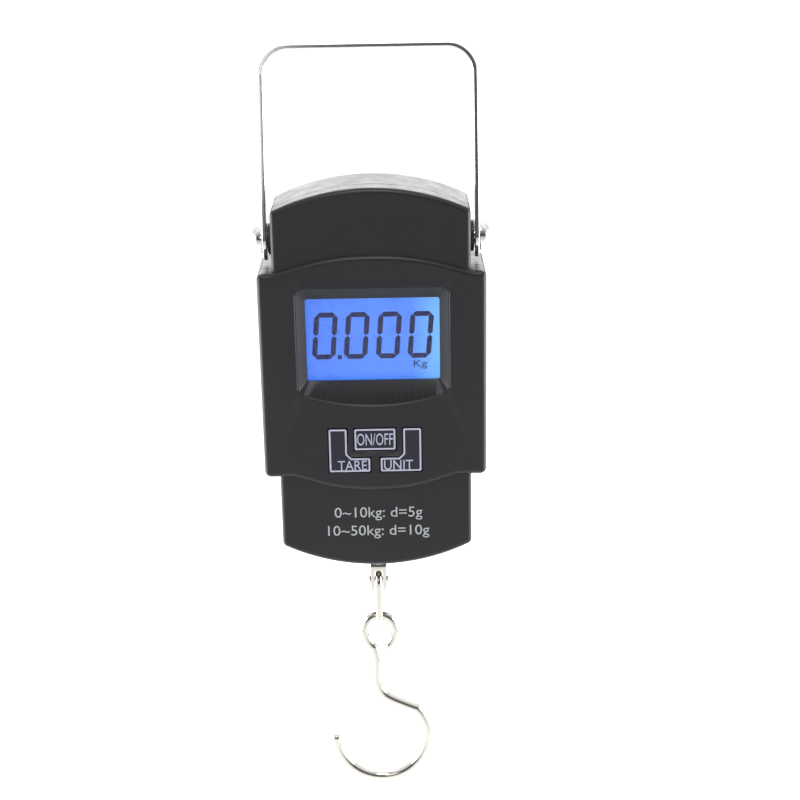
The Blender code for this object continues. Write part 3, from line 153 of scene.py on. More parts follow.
Point2 = tuple[float, float]
Point3 = tuple[float, float, float]
Colour = tuple[float, float, float]
Object = bpy.types.Object
Material = bpy.types.Material


class Facing(Enum):
    """The axis that a flat outline looks along."""

    X = 0
    Y = 1
    Z = 2

    def place(self, u: float, v: float, depth: float) -> Point3:
        """The point (u, v) of an outline at this depth along the axis."""
        point = [u, v]
        point.insert(self.value, depth)
        return tuple(point)


class Join(Enum):
    """How one solid is put together with another."""

    ADD = "UNION"
    CUT = "DIFFERENCE"
    KEEP = "INTERSECT"


def pivot_place() -> Vector:
    """The middle of the handle's pivot, between the two washers."""
    corners = [Vector(corner) for side in ("left", "right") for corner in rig.box(f"pivot_washer_{side}")]
    return sum(corners, Vector()) / len(corners)


PIVOT = pivot_place()


# The bench


class Bench:
    """Modelling by hand: primitives, edit-mode steps, and modifiers that are applied."""

    @staticmethod
    def pick(piece: Object) -> None:
        """Make one piece the only selected one, and active."""
        bpy.ops.object.select_all(action="DESELECT")
        piece.select_set(True)
        bpy.context.view_layer.objects.active = piece

    @classmethod
    def edit(cls, piece: Object, *steps: Callable[[], object]) -> None:
        """Run steps in edit mode with all of the piece selected.

        Args:
            piece: the piece to shape.
            steps: operators to call, in order.
        """
        cls.pick(piece)
        bpy.ops.object.mode_set(mode="EDIT")
        bpy.ops.mesh.select_mode(type="EDGE")
        bpy.ops.mesh.select_all(action="SELECT")
        for step in steps:
            step()
        bpy.ops.object.mode_set(mode="OBJECT")

    @classmethod
    def mark(cls, piece: Object, wanted: Callable[[Vector, Vector], bool]) -> None:
        """Select only some edges of a piece.

        Args:
            piece: the piece whose edges are chosen.
            wanted: says of an edge's two ends whether it is chosen.
        """
        cls.edit(piece, lambda: bpy.ops.mesh.select_all(action="DESELECT"))
        points = piece.data.vertices
        for edge in piece.data.edges:
            start, end = (points[i].co for i in edge.vertices)
            edge.select = wanted(start, end)

    @classmethod
    def clean(cls, piece: Object) -> Object:
        """Merge doubles and turn every face outwards; returns the piece."""
        cls.edit(
            piece,
            lambda: bpy.ops.mesh.remove_doubles(threshold=0.001 * MM),
            lambda: bpy.ops.mesh.normals_make_consistent(inside=False),
        )
        return piece

    @classmethod
    def rim(cls, name: str, points: Sequence[Point3], filled: bool = True) -> Object:
        """A primitive circle with its corners moved to the given points.

        Args:
            name: the piece's name.
            points: where the corners go, in order.
            filled: whether the circle has a face.

        Returns:
            The new piece.
        """
        bpy.ops.object.select_all(action="DESELECT")
        fill = "NGON" if filled else "NOTHING"
        bpy.ops.mesh.primitive_circle_add(vertices=len(points), radius=MM, fill_type=fill)
        piece = bpy.context.object
        piece.name = piece.data.name = name
        for corner, point in zip(piece.data.vertices, points):
            corner.co = point
        return piece

    @classmethod
    def slab(
        cls, name: str, outline: Sequence[Point2], low: float, high: float, facing: Facing = Facing.Y
    ) -> Object:
        """A flat outline extruded from low to high.

        Args:
            name: the piece's name.
            outline: the corners, in order.
            low: where it starts along the facing axis.
            high: where it ends.
            facing: the axis it is extruded along.

        Returns:
            The closed slab.
        """
        piece = cls.rim(name, [facing.place(u, v, low) for u, v in outline])
        travel = facing.place(0.0, 0.0, high - low)
        cls.edit(
            piece, lambda: bpy.ops.mesh.extrude_region_move(TRANSFORM_OT_translate={"value": travel})
        )
        return cls.clean(piece)

    @classmethod
    def block(cls, name: str, low: Point3, high: Point3) -> Object:
        """A box between two corners."""
        outline = [(low[0], low[2]), (high[0], low[2]), (high[0], high[2]), (low[0], high[2])]
        return cls.slab(name, outline, low[1], high[1])

    @classmethod
    def rod(
        cls,
        name: str,
        radius: float,
        low: float,
        high: float,
        facing: Facing,
        centre: Point2 = (0.0, 0.0),
        sides: int = 48,
    ) -> Object:
        """A round bar along an axis.

        Args:
            name: the piece's name.
            radius: the bar's radius.
            low: where it starts along the axis.
            high: where it ends.
            facing: its axis.
            centre: its middle in the outline's plane.
            sides: faces round it.

        Returns:
            The closed bar.
        """
        return cls.slab(name, oval(radius, radius, sides, centre), low, high, facing)

    @classmethod
    def loft(
        cls, name: str, front: Sequence[Point2], front_y: float, back: Sequence[Point2], back_y: float
    ) -> Object:
        """A primitive cylinder whose two rims are moved to two outlines.

        Args:
            name: the piece's name.
            front: the outline at front_y.
            front_y: the first rim's depth.
            back: the outline at back_y, with as many corners.
            back_y: the second rim's depth.

        Returns:
            The closed solid between the outlines.
        """
        bpy.ops.object.select_all(action="DESELECT")
        bpy.ops.mesh.primitive_cylinder_add(vertices=len(front), radius=MM, depth=MM, end_fill_type="NGON")
        piece = bpy.context.object
        piece.name = piece.data.name = name
        below = [corner for corner in piece.data.vertices if corner.co.z < 0]
        above = [corner for corner in piece.data.vertices if corner.co.z > 0]
        for corners, outline, y in ((below, front, front_y), (above, back, back_y)):
            for corner, (x, z) in zip(corners, outline):
                corner.co = (x, y, z)
        return cls.clean(piece)

    @classmethod
    def lathe(
        cls, name: str, profile: Sequence[Point2], steps: int = 48, turn: Matrix | None = None
    ) -> Object:
        """A profile spun round the Z axis.

        Args:
            name: the piece's name.
            profile: (radius, height) points that begin and end on the axis.
            steps: faces round the piece.
            turn: where the spun piece goes.

        Returns:
            The closed piece.
        """
        piece = cls.rim(name, [(radius, 0.0, height) for radius, height in profile], filled=False)
        cls.mark(piece, lambda a, b: a.x == 0.0 and b.x == 0.0)
        bpy.ops.object.mode_set(mode="EDIT")
        bpy.ops.mesh.delete(type="EDGE")
        bpy.ops.object.mode_set(mode="OBJECT")
        cls.edit(
            piece,
            lambda: bpy.ops.mesh.spin(
                steps=steps, angle=math.tau, center=(0.0, 0.0, 0.0), axis=(0.0, 0.0, 1.0), use_auto_merge=True
            ),
        )
        if turn is not None:
            piece.data.transform(turn)
        return cls.clean(piece)

    @classmethod
    def wire(
        cls, name: str, path: Sequence[Point3], radii: Sequence[float], closed: bool = False, sides: int = 5
    ) -> Object:
        """A round wire along a path.

        Args:
            name: the piece's name.
            path: points on the wire's centre line.
            radii: the wire's radius at each point.
            closed: whether the ends meet.
            sides: the bevel's resolution.

        Returns:
            The wire as a closed mesh.
        """
        bpy.ops.object.select_all(action="DESELECT")
        bpy.ops.curve.primitive_nurbs_path_add()
        piece = bpy.context.object
        piece.name = piece.data.name = name
        line = piece.data
        line.splines.clear()
        run = line.splines.new("POLY")
        run.points.add(len(path) - 1)
        thick = max(radii)
        for point, place, radius in zip(run.points, path, radii):
            point.co = (*place, 1.0)
            point.radius = radius / thick
        run.use_cyclic_u = closed
        line.bevel_depth = thick
        line.bevel_resolution = sides
        line.use_fill_caps = not closed
        bpy.ops.object.convert(target="MESH")
        return cls.clean(bpy.context.object)

    @classmethod
    def boolean(cls, piece: Object, tool: Object, how: Join) -> Object:
        """Add, cut or keep one solid with another, which is used up.

        Args:
            piece: the solid that stays.
            tool: the solid that is used up.
            how: what is done with it.

        Returns:
            The piece.
        """
        change = piece.modifiers.new(tool.name, "BOOLEAN")
        change.operation = how.value
        change.solver = "EXACT"
        change.object = tool
        cls.pick(piece)
        bpy.ops.object.modifier_apply(modifier=change.name)
        bpy.data.objects.remove(tool)
        return piece

    @classmethod
    def round_edges(
        cls, piece: Object, wanted: Callable[[Vector, Vector], bool], width: float, segments: int
    ) -> Object:
        """Round chosen edges in edit mode.

        Args:
            piece: the piece to shape.
            wanted: says which edges, by their ends.
            width: the rounding's radius.
            segments: faces across it.

        Returns:
            The piece.
        """
        cls.mark(piece, wanted)
        bpy.ops.object.mode_set(mode="EDIT")
        bpy.ops.mesh.bevel(offset=width, segments=segments, affect="EDGES")
        bpy.ops.object.mode_set(mode="OBJECT")
        return piece

    @classmethod
    def soften(cls, piece: Object, width: float, segments: int = 2, above: float = 40.0) -> Object:
        """Take the sharpness off every edge steeper than an angle.

        Args:
            piece: the piece to shape.
            width: the rounding's width.
            segments: faces across it.
            above: the angle in degrees.

        Returns:
            The piece.
        """
        change = piece.modifiers.new("soften", "BEVEL")
        change.width = width
        change.segments = segments
        change.limit_method = "ANGLE"
        change.angle_limit = math.radians(above)
        cls.pick(piece)
        bpy.ops.object.modifier_apply(modifier=change.name)
        return piece

    @classmethod
    def smooth(cls, piece: Object, below: float = 35.0) -> Object:
        """Shade smoothly across edges flatter than an angle, with large faces kept flat.

        Args:
            piece: the piece to shade.
            below: the angle in degrees.

        Returns:
            The piece.
        """
        cls.pick(piece)
        bpy.ops.object.shade_smooth_by_angle(angle=math.radians(below))
        change = piece.modifiers.new("even", "WEIGHTED_NORMAL")
        change.keep_sharp = True
        bpy.ops.object.modifier_apply(modifier=change.name)
        return piece

    @classmethod
    def words(cls, name: str, text: str, middle: Point2, size: Point2, y: float, thickness: float) -> Object:
        """Raised lettering that faces the front.

        Args:
            name: the piece's name.
            text: what it says.
            middle: the lettering's middle, across and up.
            size: its width and height.
            y: its face.
            thickness: how deep it goes behind its face.

        Returns:
            The lettering as a mesh.
        """
        bpy.ops.object.select_all(action="DESELECT")
        bpy.ops.object.text_add()
        piece = bpy.context.object
        piece.data.body = text
        piece.data.extrude = 0.5
        piece.data.resolution_u = 4
        bpy.ops.object.convert(target="MESH")
        piece = bpy.context.object
        piece.name = piece.data.name = name
        spots = [corner.co.copy() for corner in piece.data.vertices]
        low = Vector([min(spot[i] for spot in spots) for i in range(3)])
        high = Vector([max(spot[i] for spot in spots) for i in range(3)])
        wide, tall, deep = high - low
        for corner, spot in zip(piece.data.vertices, spots):
            corner.co = (
                middle[0] + ((spot.x - low.x) / wide - 0.5) * size[0],
                y + (high.z - spot.z) / deep * thickness,
                middle[1] + ((spot.y - low.y) / tall - 0.5) * size[1],
            )
        return cls.clean(piece)

    @classmethod
    def copy(cls, piece: Object, name: str, move: Matrix) -> Object:
        """The same piece again with a mesh of its own.

        Args:
            piece: what is copied.
            name: the copy's name.
            move: how the copy is moved.

        Returns:
            The copy.
        """
        twin = piece.copy()
        twin.data = piece.data.copy()
        twin.name = twin.data.name = name
        bpy.context.scene.collection.objects.link(twin)
        twin.data.transform(move)
        return twin


# Outlines


def oval(half_u: float, half_v: float, steps: int, centre: Point2 = (0.0, 0.0)) -> list[Point2]:
    """An ellipse's points.

    Args:
        half_u: half its size across.
        half_v: half its size up.
        steps: how many points.
        centre: its middle.

    Returns:
        The points, counter-clockwise.
    """
    turns = (math.tau * (i + 0.5) / steps for i in range(steps))
    return [(centre[0] + half_u * math.cos(a), centre[1] + half_v * math.sin(a)) for a in turns]


def oblong(low_u: float, high_u: float, low_v: float, high_v: float) -> list[Point2]:
    """A rectangle's corners, counter-clockwise."""
    return [(low_u, low_v), (high_u, low_v), (high_u, high_v), (low_u, high_v)]


def eased(outline: Sequence[Point2], radius: float, steps: int = 6, above: float = 35.0) -> list[Point2]:
    """An outline with its sharp corners rounded.

    Args:
        outline: the corners, in order.
        radius: how much is rounded.
        steps: points along each rounding.
        above: the turn in degrees from which a corner counts as sharp.

    Returns:
        The new points.
    """
    points: list[Point2] = []
    for before, corner, after in zip([outline[-1], *outline], outline, [*outline[1:], outline[0]]):
        here = Vector(corner)
        back, ahead = (Vector(before) - here), (Vector(after) - here)
        turn = math.pi - back.angle(ahead)
        if math.degrees(turn) < above:
            points.append(corner)
            continue
        reach = min(radius * math.tan(turn / 2), 0.48 * back.length, 0.48 * ahead.length)
        start = here + back.normalized() * reach
        middle = here + (back.normalized() + ahead.normalized()).normalized() * (reach / math.sin(turn / 2))
        swing = turn if back.x * ahead.y - back.y * ahead.x < 0 else -turn
        for i in range(steps + 1):
            spoke = (start - middle) @ Matrix.Rotation(-swing * i / steps, 2)
            points.append(tuple(middle + spoke))
    return points


def smooth_path(anchors: Sequence[Point2], steps: int) -> list[Point2]:
    """Points on a smooth curve through the anchors, ends included.

    Args:
        anchors: points that the curve goes through.
        steps: how many points between two anchors.

    Returns:
        The curve's points.
    """
    padded = [Vector(p) for p in (anchors[0], *anchors, anchors[-1])]
    path: list[Point2] = []
    for a, b, c, d in zip(padded, padded[1:], padded[2:], padded[3:]):
        for i in range(steps):
            t = i / steps
            spot = 2 * b + (c - a) * t + (2 * a - 5 * b + 4 * c - d) * t**2
            path.append(tuple(0.5 * (spot + (3 * b - a - 3 * c + d) * t**3)))
    return [*path, tuple(anchors[-1])]


# Finishes


@dataclass(frozen=True)
class Finish:
    """A worked surface: cloudy colour, fine grain, uneven gloss and rubbed edges.

    Attributes:
        slot: the record's material slot.
        colour: the main colour.
        tint: the colour it clouds towards.
        rough: lowest roughness.
        rough_more: how much rougher it gets in places.
        metallic: 1 for bare metal.
        cloud: scale of the clouding.
        grain: scale of the fine relief.
        relief: strength of the fine relief.
        stretch: how the grain is drawn out along X, Y and Z.
        rub: the colour of rubbed edges.
        rubbed: how much of that colour the edges show.
        coat: thickness of a clear coat.
        gloss: how strongly a plastic mirrors, 0.5 being plain.
    """

    slot: str
    colour: Colour
    tint: Colour
    rough: float
    rough_more: float = 0.1
    metallic: float = 0.0
    cloud: float = 90.0
    grain: float = 2500.0
    relief: float = 0.1
    stretch: Point3 = (1.0, 1.0, 1.0)
    rub: Colour = (0.2, 0.2, 0.2)
    rubbed: float = 0.0
    coat: float = 0.0
    gloss: float = 0.5

    def material(self, name: str) -> Material:
        """Build the finish.

        Args:
            name: the material's name.

        Returns:
            The material.
        """
        made = bpy.data.materials.get(name)
        if made is not None:
            return made
        made = bpy.data.materials.new(name)
        made.use_nodes = True
        wiring = Wiring(made)
        self.wire(wiring)
        return made

    def wire(self, wiring: "Wiring") -> None:
        """Wire the surface.

        Args:
            wiring: the material's node wiring.
        """
        surface = wiring.surface
        surface.inputs["Metallic"].default_value = self.metallic
        surface.inputs["Coat Weight"].default_value = self.coat
        surface.inputs["Specular IOR Level"].default_value = self.gloss
        clouds = wiring.noise(self.cloud, detail=4.0)
        colour = wiring.blend(clouds, self.colour, self.tint)
        if self.rubbed:
            colour = wiring.blend(wiring.edges(self.rubbed), colour, self.rub)
        wiring.link(colour, surface.inputs["Base Color"])
        patches = wiring.noise(self.cloud * 2.7, detail=6.0, stretch=self.stretch)
        wiring.link(
            wiring.spread(patches, self.rough, self.rough + self.rough_more), surface.inputs["Roughness"]
        )
        fine = wiring.noise(self.grain, detail=3.0, stretch=self.stretch)
        wiring.relief(fine, self.relief)


class Wiring:
    """Node wiring of one material round its Principled shader."""

    def __init__(self, material: Material) -> None:
        """Start from a material that uses nodes."""
        self.tree = material.node_tree
        self.surface = self.tree.nodes["Principled BSDF"]
        self.place = self.tree.nodes.new("ShaderNodeTexCoord").outputs["Object"]

    def link(self, start: bpy.types.NodeSocket, end: bpy.types.NodeSocket) -> None:
        """Join two sockets."""
        self.tree.links.new(start, end)

    def mapped(self, stretch: Point3, shift: Point3 = (0.0, 0.0, 0.0)) -> bpy.types.NodeSocket:
        """Object coordinates, drawn out and moved.

        Args:
            stretch: scale along each axis.
            shift: where the pattern's zero lies.

        Returns:
            The vector socket.
        """
        mapping = self.tree.nodes.new("ShaderNodeMapping")
        mapping.vector_type = "POINT"
        mapping.inputs["Scale"].default_value = stretch
        mapping.inputs["Location"].default_value = [-s * k for s, k in zip(shift, stretch)]
        self.link(self.place, mapping.inputs["Vector"])
        return mapping.outputs["Vector"]

    def noise(
        self, scale: float, detail: float = 2.0, stretch: Point3 = (1.0, 1.0, 1.0)
    ) -> bpy.types.NodeSocket:
        """A noise value.

        Args:
            scale: its scale.
            detail: its octaves.
            stretch: how it is drawn out.

        Returns:
            The value socket.
        """
        node = self.tree.nodes.new("ShaderNodeTexNoise")
        node.inputs["Scale"].default_value = scale
        node.inputs["Detail"].default_value = detail
        self.link(self.mapped(stretch), node.inputs["Vector"])
        return node.outputs["Fac"]

    def spread(
        self, value: bpy.types.NodeSocket, low: float, high: float, start: float = 0.35, end: float = 0.65
    ) -> bpy.types.NodeSocket:
        """A value moved from one range to another.

        Args:
            value: the value socket.
            low: what start becomes.
            high: what end becomes.
            start: the lower end of the old range.
            end: the upper end of the old range.

        Returns:
            The new value.
        """
        node = self.tree.nodes.new("ShaderNodeMapRange")
        for key, number in (("From Min", start), ("From Max", end), ("To Min", low), ("To Max", high)):
            node.inputs[key].default_value = number
        self.link(value, node.inputs["Value"])
        return node.outputs["Result"]

    def edges(self, share: float) -> bpy.types.NodeSocket:
        """How much a spot is an outer edge, from 0 to share."""
        geometry = self.tree.nodes.new("ShaderNodeNewGeometry")
        return self.spread(geometry.outputs["Pointiness"], 0.0, share, 0.51, 0.60)

    def blend(
        self,
        share: bpy.types.NodeSocket,
        low: Colour | bpy.types.NodeSocket,
        high: Colour | bpy.types.NodeSocket,
    ) -> bpy.types.NodeSocket:
        """A mix of two colours.

        Args:
            share: how much of the second one.
            low: the first colour.
            high: the second colour.

        Returns:
            The mixed colour.
        """
        node = self.tree.nodes.new("ShaderNodeMix")
        node.data_type = "RGBA"
        self.link(share, node.inputs["Factor"])
        for socket, colour in ((node.inputs[6], low), (node.inputs[7], high)):
            if isinstance(colour, tuple):
                socket.default_value = (*colour, 1.0)
            else:
                self.link(colour, socket)
        return node.outputs[2]

    def along(self, axis: Facing, start: float, end: float) -> bpy.types.NodeSocket:
        """How far a spot lies between two places along an axis, from 0 to 1.

        Args:
            axis: the axis.
            start: where the value is 0.
            end: where the value is 1.

        Returns:
            The value socket.
        """
        split = self.tree.nodes.new("ShaderNodeSeparateXYZ")
        self.link(self.place, split.inputs["Vector"])
        return self.spread(split.outputs[axis.value], 0.0, 1.0, start, end)

    def relief(self, height: bpy.types.NodeSocket, strength: float) -> None:
        """Bump the surface by a height.

        Args:
            height: the height value.
            strength: how strongly.
        """
        bump = self.tree.nodes.new("ShaderNodeBump")
        bump.inputs["Strength"].default_value = strength
        bump.inputs["Distance"].default_value = 0.1 * MM
        self.link(height, bump.inputs["Height"])
        self.link(bump.outputs["Normal"], self.surface.inputs["Normal"])


@dataclass(frozen=True)
class LitGlass(Finish):
    """The display glass, lit from behind, brighter towards one side.

    Attributes:
        edge_low: the darker side.
        edge_high: the brighter side.
        deep: the glow at the darker side.
        middle: the glow over most of the glass.
        bright: the glow at the brighter side.
    """

    edge_low: float = -20.0 * MM
    edge_high: float = 20.0 * MM
    deep: Colour = (0.045, 0.185, 0.86)
    middle: Colour = (0.065, 0.240, 0.94)
    bright: Colour = (0.16, 0.50, 1.0)

    def wire(self, wiring: Wiring) -> None:
        """Wire a glow over the plain surface.

        Args:
            wiring: the material's node wiring.
        """
        super().wire(wiring)
        rise = wiring.along(Facing.X, self.edge_low, 0.3 * self.edge_high)
        across = wiring.blend(rise, self.deep, self.middle)
        rim = wiring.along(Facing.X, 0.55 * self.edge_high, self.edge_high)
        glow = wiring.blend(rim, across, self.bright)
        wiring.link(glow, wiring.surface.inputs["Emission Color"])
        dimmer = wiring.spread(wiring.noise(120.0, detail=1.0), 0.92, 1.04)
        wiring.link(dimmer, wiring.surface.inputs["Emission Strength"])


@dataclass(frozen=True)
class ClearPane(Finish):
    """A clear moulded window.

    Attributes:
        alpha: how much of it is seen.
    """

    alpha: float = 0.045

    def wire(self, wiring: Wiring) -> None:
        """Wire a mostly clear surface.

        Args:
            wiring: the material's node wiring.
        """
        super().wire(wiring)
        wiring.surface.inputs["Alpha"].default_value = self.alpha


@dataclass(frozen=True)
class Sleeve(Finish):
    """A battery's wrap: bands of colour, with bare metal at one end.

    Attributes:
        bare_from: height where the wrap ends.
        bare_to: height where only metal is left.
    """

    bare_from: float = 0.0
    bare_to: float = 0.0

    def wire(self, wiring: Wiring) -> None:
        """Wire the wrap's bands.

        Args:
            wiring: the material's node wiring.
        """
        super().wire(wiring)
        copper = wiring.along(Facing.Z, self.bare_from, self.bare_to)
        colour = wiring.blend(copper, self.colour, self.tint)
        wiring.link(colour, wiring.surface.inputs["Base Color"])


@dataclass(frozen=True)
class BoardMask(Finish):
    """A circuit board: lacquer with faint tracks under it."""

    def wire(self, wiring: Wiring) -> None:
        """Wire the tracks.

        Args:
            wiring: the material's node wiring.
        """
        super().wire(wiring)
        tracks = wiring.tree.nodes.new("ShaderNodeTexBrick")
        tracks.inputs["Scale"].default_value = 260.0
        tracks.inputs["Mortar Size"].default_value = 0.035
        tracks.inputs["Color1"].default_value = (*self.colour, 1.0)
        tracks.inputs["Color2"].default_value = (*self.tint, 1.0)
        tracks.inputs["Mortar"].default_value = (0.03, 0.24, 0.09, 1.0)
        turn = wiring.tree.nodes.new("ShaderNodeMapping")
        turn.inputs["Rotation"].default_value = (math.pi / 2, 0.0, 0.0)
        wiring.link(wiring.place, turn.inputs["Vector"])
        wiring.link(turn.outputs["Vector"], tracks.inputs["Vector"])
        wiring.link(tracks.outputs["Color"], wiring.surface.inputs["Base Color"])


MOULDED_BLACK = Finish(
    "black_plastic",
    (0.013, 0.014, 0.015),
    (0.018, 0.019, 0.021),
    rough=0.30,
    rough_more=0.08,
    grain=4200.0,
    relief=0.12,
    rub=(0.09, 0.09, 0.10),
    rubbed=0.4,
    gloss=0.36,
)
DARK_NYLON = replace(MOULDED_BLACK, slot="dark_plastic", colour=(0.04, 0.04, 0.045), tint=(0.06, 0.06, 0.065))
DOOR_BLACK = replace(MOULDED_BLACK, rough=0.40, grain=2600.0, relief=0.3)
KEY_NAVY = replace(
    MOULDED_BLACK,
    slot="key_plastic",
    colour=(0.010, 0.010, 0.022),
    tint=(0.016, 0.016, 0.032),
    rough=0.30,
    rubbed=0.2,
)
KEY_INK = Finish(
    "key_plastic", (0.60, 0.60, 0.74), (0.52, 0.52, 0.68), rough=0.45, grain=3500.0, relief=0.15, cloud=700.0
)
CASE_INK = replace(
    KEY_INK, slot="black_plastic", colour=(0.58, 0.59, 0.60), tint=(0.47, 0.48, 0.49), cloud=900.0
)
SEGMENT_INK = Finish(
    "blue_lcd", (0.002, 0.001, 0.10), (0.003, 0.001, 0.12), rough=0.6, cloud=300.0, relief=0.02, gloss=0.0
)
LIT_BLUE = LitGlass("blue_lcd", (0.01, 0.03, 0.14), (0.015, 0.04, 0.18), rough=0.25, relief=0.02, grain=900.0)
WINDOW = ClearPane(
    "clear_window", (0.9, 0.93, 0.97), (0.86, 0.9, 0.95), rough=0.04, rough_more=0.05, relief=0.02
)
CHROME = Finish(
    "chrome",
    (0.66, 0.66, 0.68),
    (0.56, 0.56, 0.59),
    rough=0.06,
    rough_more=0.07,
    metallic=1.0,
    cloud=60.0,
    grain=900.0,
    relief=0.035,
    stretch=(1.0, 4.0, 0.25),
    rub=(0.95, 0.95, 0.96),
    rubbed=0.4,
)
NICKEL = Finish(
    "nickel",
    (0.46, 0.43, 0.34),
    (0.31, 0.28, 0.21),
    rough=0.10,
    rough_more=0.12,
    metallic=1.0,
    cloud=140.0,
    grain=700.0,
    relief=0.07,
    rub=(0.92, 0.90, 0.84),
    rubbed=0.3,
)
ZINC = replace(NICKEL, slot="zinc_steel", colour=(0.58, 0.59, 0.60), tint=(0.44, 0.45, 0.47), rough=0.24)
ALUMINIUM = replace(
    ZINC,
    slot="aluminium",
    colour=(0.74, 0.75, 0.77),
    tint=(0.64, 0.65, 0.67),
    stretch=(3.0, 3.0, 0.3),
    relief=0.2,
)
WHITE_SHEET = Finish("white_plastic", (0.80, 0.80, 0.80), (0.72, 0.72, 0.73), rough=0.5, cloud=200.0)
BOARD = BoardMask("circuit_board", (0.012, 0.12, 0.045), (0.014, 0.15, 0.055), rough=0.35, grain=1800.0)
GAUGE_FILM = Finish(
    "gauge_film", (0.55, 0.30, 0.07), (0.42, 0.22, 0.05), rough=0.35, grain=3000.0, relief=0.3
)
RED_LEAD = Finish("red_lead", (0.50, 0.02, 0.02), (0.38, 0.015, 0.015), rough=0.4, relief=0.08)
BLACK_LEAD = Finish("black_lead", (0.02, 0.02, 0.02), (0.035, 0.035, 0.035), rough=0.4, relief=0.08)


# Telling the frame


def settle(piece: Object, body: str, finish: Finish, *nodes: str, move: Matrix | None = None) -> Object:
    """Dress a finished piece, move it from the pivot to its place and hand it to the frame.

    Args:
        piece: a piece modelled about the pivot.
        body: the body it rides on.
        finish: its finish.
        nodes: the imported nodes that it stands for.
        move: where it goes, if not by the pivot's place alone.

    Returns:
        The piece.
    """
    piece.data.transform(move or Matrix.Translation(PIVOT))
    piece.data.materials.clear()
    piece.data.materials.append(finish.material(finish_name(finish)))
    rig.ride(piece, body)
    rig.slot(piece, finish.slot)
    if nodes:
        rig.replaces(piece, *nodes)
    faces = len(piece.data.polygons)
    LOG.info("%s rides on %s: %d faces, stands for %s", piece.name, body, faces, nodes or "nothing")
    return piece


def finish_name(finish: Finish) -> str:
    """The name that a finish's material goes by."""
    names = [name for name, value in globals().items() if value is finish]
    return names[0].lower() if names else finish.slot


def dress_node(name: str, finish: Finish) -> None:
    """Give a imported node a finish.

    Args:
        name: the node.
        finish: its finish.
    """
    node = frame["nodes"][name]
    material = finish.material(finish_name(finish))
    if not node.data.materials:
        node.data.materials.append(material)
    for slot in node.material_slots:
        slot.material = material
    LOG.info("%s keeps its packed shape, dressed as %s", name, material.name)


# The casing


@dataclass(frozen=True)
class CasingForm:
    """Sizes that the casing's pieces share, about the pivot."""

    band_half: float = 33.0 * MM
    section_half: float = 28.6 * MM
    upper_shoulder: float = -7.5 * MM
    lower_shoulder: float = -69.9 * MM
    crown: float = 16.8 * MM
    keel: float = -99.55 * MM
    crown_radius: float = 65.3 * MM
    keel_radius: float = 62.3 * MM
    band_front: float = -13.2 * MM
    section_front: float = -12.0 * MM
    band_back: float = 12.8 * MM
    section_back: float = 11.6 * MM
    seam: float = -5.5 * MM
    wall: float = 2.0 * MM
    edge: float = 1.6 * MM
    arch_margin: float = 3.6 * MM
    arch_rise: float = 5.1 * MM
    dip_margin: float = 8.2 * MM
    dip_drop: float = 4.7 * MM
    corner: float = 1.8 * MM

    def bow(self, half: float, apex: float, radius: float, sign: float) -> list[Point2]:
        """A circular edge from +half to -half.

        Args:
            half: half its width.
            apex: its middle's height.
            radius: its radius.
            sign: 1 for the upper edge, -1 for the lower one.

        Returns:
            The edge's points.
        """
        steps = 24
        xs = [half * (1 - 2 * i / steps) for i in range(steps + 1)]
        return [(x, apex - sign * (radius - math.sqrt(radius**2 - x**2))) for x in xs]

    def arch(self, half: float, level: float, rise: float) -> list[Point2]:
        """The band's curved edge from +half to -half, level at its ends.

        Args:
            half: half its span.
            level: the height of its ends.
            rise: the height of its middle above them.

        Returns:
            The edge's points.
        """
        steps = 44
        xs = [half * math.cos(math.pi * i / steps) for i in range(steps + 1)]
        return [(x, level + rise * max(1 - abs(x / half) ** 2.4, 0.0) ** 1.3) for x in xs]

    def section(self, inset: float = 0.0) -> list[Point2]:
        """The narrow outline from crown to keel, moved in by inset."""
        half = self.section_half - inset
        top = self.bow(half, self.crown - inset, self.crown_radius - inset, 1.0)
        bottom = self.bow(half, self.keel + inset, self.keel_radius - inset, -1.0)
        return eased([*top, *reversed(bottom)], self.corner)

    def band(self, inset: float = 0.0) -> list[Point2]:
        """The wide middle band, moved in by inset."""
        half = self.band_half - inset
        upper, lower = self.upper_shoulder - inset, self.lower_shoulder + inset
        top = self.arch(self.band_half - self.arch_margin - inset, upper, self.arch_rise)
        bottom = self.arch(self.band_half - self.dip_margin - inset, lower, -self.dip_drop)
        outline = [(half, upper), *top, (-half, upper), (-half, lower), *reversed(bottom), (half, lower)]
        return eased(outline, self.corner)


FORM = CasingForm()


